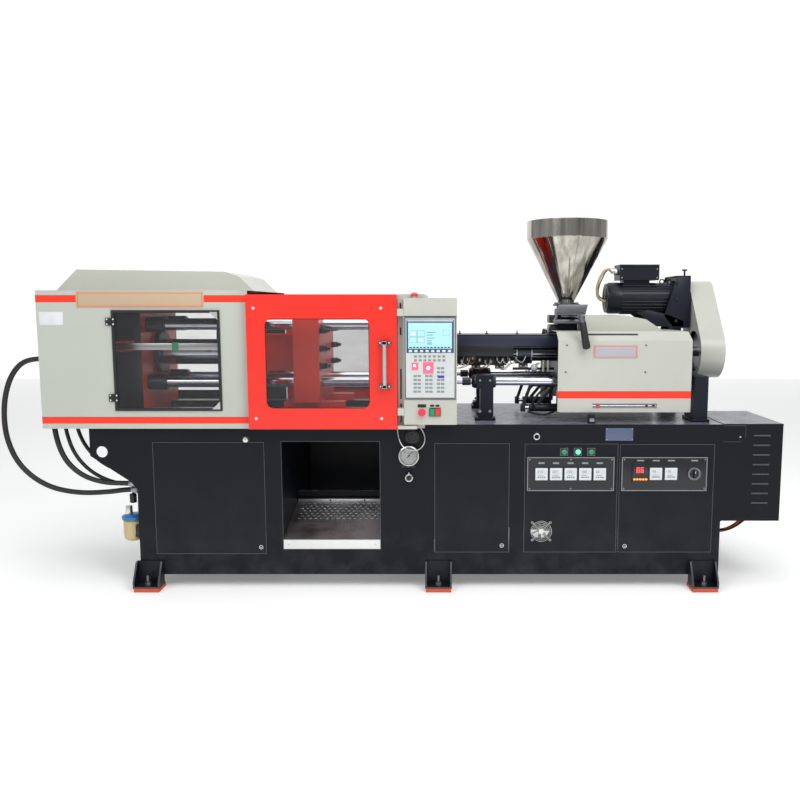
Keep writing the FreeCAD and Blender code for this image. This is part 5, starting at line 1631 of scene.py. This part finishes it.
    def terminal_row(self, shape: Shape, low: Vector) -> None:
        """Add the shields, terminals and clips that hang in a row under the cover.

        Args:
            shape: the barrel's trim.
            low: lowest corner of the cover.
        """
        rng = random.Random(self.seed + 4)
        y, top = low.y + 0.02, low.z + 0.004
        shape.block((0.15, y + 0.022, top - 0.062), (0.56, y + 0.026, top), 0.001)
        for i in range(13):
            x = 0.158 + 0.0375 * i + rng.uniform(-0.004, 0.004)
            drop = rng.uniform(0.02, 0.042)
            shape.block((x, y, top - drop), (x + rng.uniform(0.01, 0.022), y + 0.012, top - 0.004), 0.002,
                        rng.choice((0, 0, 2, 5)))
            shape.bar((x + 0.006, y - 0.002, top - drop - 0.004), (x + 0.006, y - 0.002, top - drop + 0.012), 0.005,
                      sides=14, slot=rng.choice((1, 2)))
            start = Vector((x + 0.006, y - 0.002, top - drop))
            reach = rng.uniform(0.03, 0.06)
            shape.wire([start, start + Vector((reach * 0.3, -0.004, -0.02)),
                        start + Vector((reach * 0.8, 0.0, -0.022)), start + Vector((reach, 0.006, drop - 0.004))],
                       0.0022, rng.choice((2, 4, 0, 3)))

    def hopper(self) -> None:
        """Rolled rim, waist bead, weld seam, base bolts, magnet tray and the slide's grip."""
        low, high = span_box("hopper")
        x = (low.x + high.x) / 2
        trim = Shape("mirror_steel_reflection_bands", "turned_steel", "black_steel", "satin_metal")
        trim.ring((x, 0, high.z - 0.002), (0, 0, 1), 0.2485, 0.0018, steps=96)
        trim.ring((x, 0, self.waist), (0, 0, 1), 0.2495, 0.0016, steps=96)
        angle = math.radians(-82)
        out = Vector((math.cos(angle), math.sin(angle), 0))
        base = Vector((x, 0, low.z)) + out * 0.0445
        top = Vector((x, 0, self.waist)) + out * 0.2503
        trim.bar(base, top, 0.0018, sides=8)
        trim.bar(top, Vector((top.x, top.y, high.z)), 0.0018, sides=8)
        trim.finish("hopper_seams", Body.CARRIAGE)
        flange = span_box("hopper_base")[1].z
        bolts = Shape("turned_steel", "black_steel", "dull_steel")
        bolts.lathe([(0.0445, 0.0), (0.072, 0.0), (0.072, 0.006), (0.05, 0.01), (0.0445, 0.01), (0.0445, 0.0)],
                    (x, 0, flange), (0, 0, 1), 48, 2)
        for dx in (-0.054, 0.056):
            for dy in (-0.08, 0.08):
                bolts.bar((x + dx, dy, flange), (x + dx, dy, flange + 0.01), 0.01, sides=6)
        bolts.plate([(x - 0.075, -0.12, 1.606), (x + 0.105, -0.12, 1.606), (x + 0.118, -0.12, 1.664),
                     (x - 0.062, -0.12, 1.664)], (0, 0.024, 0), 0.002, 2)
        bolts.block((x - 0.08, -0.135, 1.6), (x + 0.1, -0.094, 1.606), 0.001, 2)
        bolts.block((x - 0.1, -0.16, 1.548), (x + 0.1, -0.104, 1.572), 0.003, 2)
        for px in (x - 0.085, x + 0.085):
            bolts.bar((px, -0.14, 1.572), (px, -0.14, 1.584), 0.009, sides=6)
        bolts.block((x - 0.112, -0.09, 1.486), (x - 0.063, 0.03, 1.54), 0.006, 1)
        bolts.bar((x - 0.1, -0.09, 1.515), (x - 0.1, -0.125, 1.515), 0.022, sides=28, bevel=0.003, slot=1)
        bolts.block((x - 0.118, -0.11, 1.55), (x - 0.083, 0.0, 1.6), 0.004, 1)
        bolts.finish("hopper_fittings", Body.CARRIAGE)
        self.grip()

    def grip(self) -> None:
        """Round rubber grip over the slide's lever."""
        grip = Shape("black_plastic", "dull_steel")
        top = Vector((0.96, -0.456, 1.596))
        way = Vector((0.18, -0.03, -1)).normalized()
        profile = [(0.0, 0.0), (0.018, 0.0), (0.02, 0.006), (0.0205, 0.09), (0.023, 0.135), (0.022, 0.15),
                   (0.012, 0.158), (0.0, 0.159)]
        grip.lathe(profile, top + way * 0.034, way, 36)
        grip.bar(top + way * -0.002, top + way * 0.036, 0.0175, sides=28, slot=1)
        grip.finish("slide_grip", Body.SLIDE)

    def motor(self) -> None:
        """Fan cowl, ribs, terminal box lid, conduit elbow and its looped lead."""
        low, high = span_box("drive_motor")
        y, z, radius = 0.2, 1.705, 0.1
        parts = Shape("motor_coat", "satin_metal", "tank_beige", "black_plastic")
        parts.lathe([(0.0, -0.003), (0.07, -0.003), (0.092, 0.004), (0.1015, 0.02), (0.1015, 0.085), (0.1, 0.085)],
                    (low.x, y, z), (1, 0, 0), 64)
        for i in range(5):
            parts.ring((low.x - 0.003, y, z), (1, 0, 0), 0.022 + 0.012 * i, 0.0015, 3)
        for i in range(28):
            angle = math.tau * i / 28
            if 60 < math.degrees(angle) < 120:
                continue
            centre = Vector((0, math.cos(angle), math.sin(angle)))
            a = Vector((low.x + 0.095, y, z)) + centre * (radius + 0.001)
            parts.bar(a, a + Vector((0.3, 0, 0)), 0.0034, sides=8)
        parts.lathe([(0.1, 0.0), (0.112, 0.0), (0.112, 0.022), (0.1, 0.022), (0.1, 0.0)], (1.641, y, z), (1, 0, 0),
                    64)
        top = high.z
        parts.block((1.299, y - 0.091, top - 0.012), (1.551, y + 0.091, top - 0.0002), 0.004)
        screws(parts, [(px, y - 0.0855, pz) for px in (1.312, 1.538) for pz in (1.835, 1.89)], 0.005, 0.003, 1)
        elbow = [(1.298, y - 0.03, 1.872), (1.27, y - 0.03, 1.875), (1.245, y - 0.03, 1.89)]
        parts.bar(elbow[0], elbow[1], 0.021, sides=28, bevel=0.003, slot=1)
        parts.bar(elbow[1], elbow[2], 0.018, 0.015, 28, 0.002, slot=1)
        parts.wire([elbow[2], (1.225, y - 0.03, 1.895), (1.195, y - 0.035, 1.865), (1.165, y - 0.04, 1.8),
                    (1.16, y - 0.04, 1.735), (1.178, y - 0.04, 1.69), (low.x + 0.002, y - 0.04, 1.684)], 0.008, 2)
        parts.wire([elbow[2], (1.222, y - 0.02, 1.882), (1.205, y - 0.02, 1.845), (1.18, y - 0.02, 1.79),
                    (1.172, y - 0.02, 1.735), (1.19, y - 0.02, 1.702), (low.x + 0.002, y - 0.02, 1.7)], 0.004, 3)
        parts.finish("motor_fittings", Body.CARRIAGE)

    def bracket(self) -> None:
        """Broad cheek of the motor bracket, tension bolt and lifting hooks."""
        low, high = span_box("motor_bracket")
        cheek = Shape("dark_coat", "black_steel", "satin_metal")
        for y in (low.y - 0.01, high.y):
            cheek.plate([(1.65, y, high.z), (1.738, y, high.z), (1.738, y, 1.515), (1.64, y, 1.515),
                         (1.575, y, 1.59)], (0, 0.01, 0), 0.001)
            cheek.plate([(1.405, y, 1.614), (1.47, y, 1.628), (1.6, y, 1.6), (1.7, y, 1.56), (1.7, y, 1.524),
                         (1.53, y, 1.524)], (0, 0.008, 0), 0.001)
        cheek.block((1.65, low.y - 0.01, high.z), (1.738, high.y + 0.01, high.z + 0.008), 0.002)
        cheek.bar((*self.bolt, high.z + 0.006), (*self.bolt, high.z + 0.045), 0.006, sides=16, slot=1)
        cheek.bar((*self.bolt, high.z + 0.04), (*self.bolt, high.z + 0.05), 0.017, sides=28, bevel=0.002, slot=1)
        for x in (1.585, 1.63):
            cheek.ring((x, 0.17, 1.812), (0, 1, 0), 0.014, 0.004, 1)
        for z in (1.56, 1.7, 1.8):
            cheek.bar((1.65, low.y - 0.01, z), (1.65, low.y - 0.018, z), 0.01, sides=6, slot=1)
        cheek.finish("bracket_cheeks", Body.CARRIAGE)

    def guard(self) -> None:
        """Screws on the inner face of the belt guard."""
        left = self.guard_left
        seam = Shape("black_steel", "satin_metal")
        for y, z in ((0.0, 1.2075), (-0.1575, 1.368), (0.3, 1.76), (0.12, 1.77)):
            seam.bar((left - 0.004, y * 0.97, z), (left + 0.001, y * 0.97, z), 0.007, sides=6)
        seam.finish("guard_screws", Body.CARRIAGE)

    def pedestals(self) -> None:
        """Flanges, seals and bolts of the rod pedestals, and the stop post on the deck."""
        rods = span_box("guide_rods")
        columns = span_box("rod_columns")
        z = (rods[0].z + rods[1].z) / 2
        steel = Shape("black_steel", "turned_steel", "hard_chrome", "dark_coat")
        for side in SIDES:
            y = side * 0.28
            steel.lathe([(0.0165, 0.0), (0.04, 0.0), (0.042, 0.012), (0.034, 0.026), (0.0165, 0.03), (0.0165, 0.0)],
                        (columns[0].x, y, z), (-1, 0, 0), 40)
            steel.lathe([(0.0255, 0.0), (0.038, 0.0), (0.038, 0.014), (0.0255, 0.018), (0.0255, 0.0)],
                        (columns[0].x + 0.1, y, z), (1, 0, 0), 40)
            steel.lathe([(0.0165, 0.0), (0.024, 0.0), (0.024, 0.05), (0.0165, 0.052), (0.0165, 0.0)],
                        (columns[0].x - 0.085, y, z), (1, 0, 0), 40)
            for x in (0.385, 0.445):
                steel.bar((x, side * 0.33, 1.03), (x, side * 0.336, 1.03), 0.009, sides=6, slot=1)
                steel.bar((x, side * 0.33, 1.215), (x, side * 0.336, 1.215), 0.007, sides=6, slot=1)
            base = sorted((side * 0.215, side * 0.348))
            steel.block((0.355, base[0], DECK_TOP), (0.478, base[1], 0.993), 0.003, 3)
            base = sorted((side * 0.215, side * 0.42))
            steel.block((1.63, base[0], DECK_TOP), (1.732, base[1], 0.993), 0.003, 3)
            for x in (0.366, 0.467):
                steel.bar((x, side * 0.337, 0.993), (x, side * 0.337, 1.004), 0.008, sides=6, slot=1)
        steel.block((1.01, -0.47, 0.9752), (1.05, -0.425, 1.028), 0.003, 3)
        steel.block((1.016, -0.474, 0.985), (1.044, -0.469, 1.006), 0.001, 1)
        steel.finish("pedestal_fittings", Body.BED)

    def drive_struts(self) -> None:
        """Carriage cylinder with its clevis, struts and hoses in front of the carriage."""
        struts = Shape("black_steel", "hard_chrome", "hose_rubber", "turned_steel")
        for side in SIDES:
            y = side * 0.2
            struts.bar((0.69, y, 1.035), (0.879, y, 1.035), 0.024, sides=32, bevel=0.003)
            struts.bar((0.645, y, 1.035), (0.69, y, 1.035), 0.011, sides=24, slot=1)
            struts.block((0.64, y - 0.022, 1.012), (0.668, y + 0.022, 1.058), 0.004)
            struts.bar((0.655, y, 1.045), (0.7, y - 0.01, 1.18), 0.01, sides=16)
            struts.bar((0.745, y, 1.055), (0.845, y - 0.01, 1.18), 0.01, sides=16)
            struts.bar((0.7, y - 0.01, 1.178), (0.8795, y - 0.01, 1.178), 0.012, sides=16)
            struts.wire([(0.72, y - 0.03, 1.04), (0.7, y - 0.05, 1.065), (0.735, y - 0.055, 1.12),
                         (0.79, y - 0.045, 1.17), (0.8795, y - 0.04, 1.2)], 0.007, 2)
            struts.wire([(0.85, y - 0.026, 1.02), (0.8, y - 0.05, 0.995), (0.735, y - 0.045, 1.0),
                         (0.68, y - 0.03, 1.015)], 0.006, 2)
            struts.bar((0.879, y, 1.035), (0.8795, y, 1.16), 0.014, sides=16)
            struts.block((0.862, y - 0.03, 1.005), (0.8795, y + 0.03, 1.152), 0.003)
        struts.finish("carriage_drive", Body.CARRIAGE)


@dataclass
class Hoses:
    """Free hoses from the clamp down to the bed."""

    routes: dict = field(default_factory=lambda: {
        "outer_hose": (0.03, [(-2.141, -0.44, 1.352), (-2.226, -0.44, 1.352), (-2.304, -0.443, 1.312),
                               (-2.366, -0.446, 1.212), (-2.4, -0.449, 1.06), (-2.394, -0.45, 0.88),
                               (-2.325, -0.448, 0.715), (-2.18, -0.446, 0.598), (-2.0, -0.443, 0.556),
                               (-1.815, -0.441, 0.562), (-1.71, -0.44, 0.578), (-1.646, -0.44, 0.578)]),
        "front_hose": (0.03, [(-2.102, -0.47, 1.146), (-2.102, -0.47, 1.05), (-2.094, -0.471, 0.9),
                               (-2.048, -0.472, 0.76), (-1.952, -0.473, 0.668), (-1.835, -0.473, 0.628),
                               (-1.725, -0.472, 0.622), (-1.646, -0.472, 0.622)]),
        "middle_hose": (0.022, [(-2.066, -0.42, 1.146), (-2.066, -0.42, 1.06), (-2.057, -0.419, 0.92),
                                (-2.014, -0.417, 0.78), (-1.922, -0.414, 0.675), (-1.808, -0.412, 0.618),
                                (-1.71, -0.412, 0.603), (-1.646, -0.412, 0.603)]),
        "inner_hose": (0.022, [(-2.03, -0.36, 1.146), (-2.03, -0.36, 1.065), (-2.018, -0.361, 0.93),
                               (-1.97, -0.362, 0.815), (-1.884, -0.362, 0.725), (-1.78, -0.361, 0.672),
                               (-1.695, -0.36, 0.652), (-1.646, -0.36, 0.652)]),
    })
    lengths: dict = field(default_factory=lambda: {
        "outer_hose": 1.517, "front_hose": 0.834, "middle_hose": 0.798, "inner_hose": 0.715})

    def build(self) -> None:
        """Build each hose and hide its node."""
        for name, (diameter, points) in self.routes.items():
            piece = spline_object(name + "_run", points, diameter / 2, 16)
            piece.data.materials.append(FINISHES["hose_rubber"])
            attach(piece, Body.BED.value)
            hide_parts(name)
            LOG.info("%s laid", name)
        self.ends()

    def ends(self) -> None:
        """Swaged ferrules and nuts at the hose ends."""
        ends = Shape("turned_steel", "dull_steel")
        for diameter, points in self.routes.values():
            for near, far in ((points[0], points[1]), (points[-1], points[-2])):
                way = (Vector(far) - Vector(near)).normalized()
                start = Vector(near)
                ends.lathe([(diameter / 2 + 0.0005, 0.0), (diameter / 2 + 0.004, 0.0), (diameter / 2 + 0.004, 0.026),
                            (diameter / 2 + 0.0015, 0.03), (diameter / 2 + 0.0005, 0.03),
                            (diameter / 2 + 0.0005, 0.0)], start, way, 32)
                ends.bar(start - way * 0.016, start - way * 0.001, diameter / 2 + 0.009, sides=6, slot=1)
        ends.finish("hose_ferrules", Body.BED)


@dataclass
class Studio:
    """Floor, soft lights, pale surround and the camera."""

    eye: tuple[float, float, float] = (0.17, -5.05, 1.66)
    pitch: float = 6.8
    lens: float = 35.8
    shift_x: float = -0.055

    def build(self) -> None:
        """Build the set and place the camera."""
        self.floor()
        self.backdrop()
        self.surround()
        self.lights()
        self.camera()

    def backdrop(self) -> None:
        """White card that fills the view behind the machine."""
        mesh = bpy.data.meshes.new("backdrop")
        bm = bmesh.new()
        bmesh.ops.create_grid(bm, x_segments=1, y_segments=1, size=14.0)
        bmesh.ops.rotate(bm, cent=(0, 0, 0), matrix=Matrix.Rotation(math.radians(90), 3, "X"), verts=bm.verts[:])
        bmesh.ops.translate(bm, vec=(0, 13.0, 6.0), verts=bm.verts[:])
        bm.to_mesh(mesh)
        bm.free()
        card = bpy.data.objects.new("backdrop", mesh)
        bpy.context.scene.collection.objects.link(card)
        tree = NodeTree("backdrop_white")
        mesh.materials.append(tree.surface(Base_Color=(0.0, 0.0, 0.0, 1.0), Roughness=1.0, Specular_IOR_Level=0.0,
                                           Emission_Color=(1.0, 1.0, 1.0, 1.0), Emission_Strength=1.05))

    def floor(self) -> None:
        """Plain pale floor."""
        mesh = bpy.data.meshes.new("floor")
        bm = bmesh.new()
        bmesh.ops.create_grid(bm, x_segments=1, y_segments=1, size=30.0)
        bm.to_mesh(mesh)
        bm.free()
        plane = bpy.data.objects.new("floor", mesh)
        bpy.context.scene.collection.objects.link(plane)
        tree = NodeTree("floor_pale")
        mesh.materials.append(tree.surface(Base_Color=(0.93, 0.93, 0.93, 1.0), Roughness=0.9, Specular_IOR_Level=0.1,
                                           Emission_Color=(1.0, 1.0, 1.0, 1.0), Emission_Strength=0.22))

    def surround(self) -> None:
        """Even pale light from all round."""
        world = bpy.data.worlds.new("studio")
        world.use_nodes = True
        world.node_tree.nodes["Background"].inputs["Color"].default_value = (0.96, 0.98, 1.0, 1.0)
        world.node_tree.nodes["Background"].inputs["Strength"].default_value = 0.42
        bpy.context.scene.world = world

    def lights(self) -> None:
        """Large soft lamps: key, fill and one for the back."""
        for name, place, aim, size, power in (
                ("key", (2.6, -4.4, 5.0), (0.5, 0.0, 0.9), 2.6, 150.0),
                ("fill", (-3.0, -4.8, 4.2), (-0.6, 0.0, 1.0), 2.6, 80.0),
                ("top", (0.0, 0.5, 5.6), (0.0, 0.0, 1.0), 4.0, 90.0),
                ("floor_wash", (0.0, -2.6, 5.4), (0.0, -1.6, 0.0), 3.0, 60.0)):
            lamp = bpy.data.lights.new(name, "AREA")
            lamp.size = size
            lamp.energy = power
            holder = bpy.data.objects.new(name, lamp)
            holder.location = place
            holder.rotation_euler = (Vector(aim) - Vector(place)).to_track_quat("-Z", "Y").to_euler()
            bpy.context.scene.collection.objects.link(holder)

    def camera(self) -> None:
        """Camera at a standing eye in front of the machine."""
        data = bpy.data.cameras.new("camera")
        data.lens = self.lens
        data.shift_x = self.shift_x
        holder = bpy.data.objects.new("camera", data)
        holder.location = self.eye
        holder.rotation_euler = (math.radians(90 - self.pitch), 0, 0)
        bpy.context.scene.collection.objects.link(holder)
        bpy.context.scene.camera = holder
        bpy.context.scene.view_settings.view_transform = "Standard"


def main() -> None:
    """Build the machine's looks in order."""
    Studio().build()
    Hoses().build()
    Carried().dress()
    ClampCovers().build()
    ClampInside().build()
    GateParts().build()
    BedTrim().build()
    Instruments().build()
    PanelFace().build()
    InjectionUnit().build()


if __name__ == "__main__":
    main()
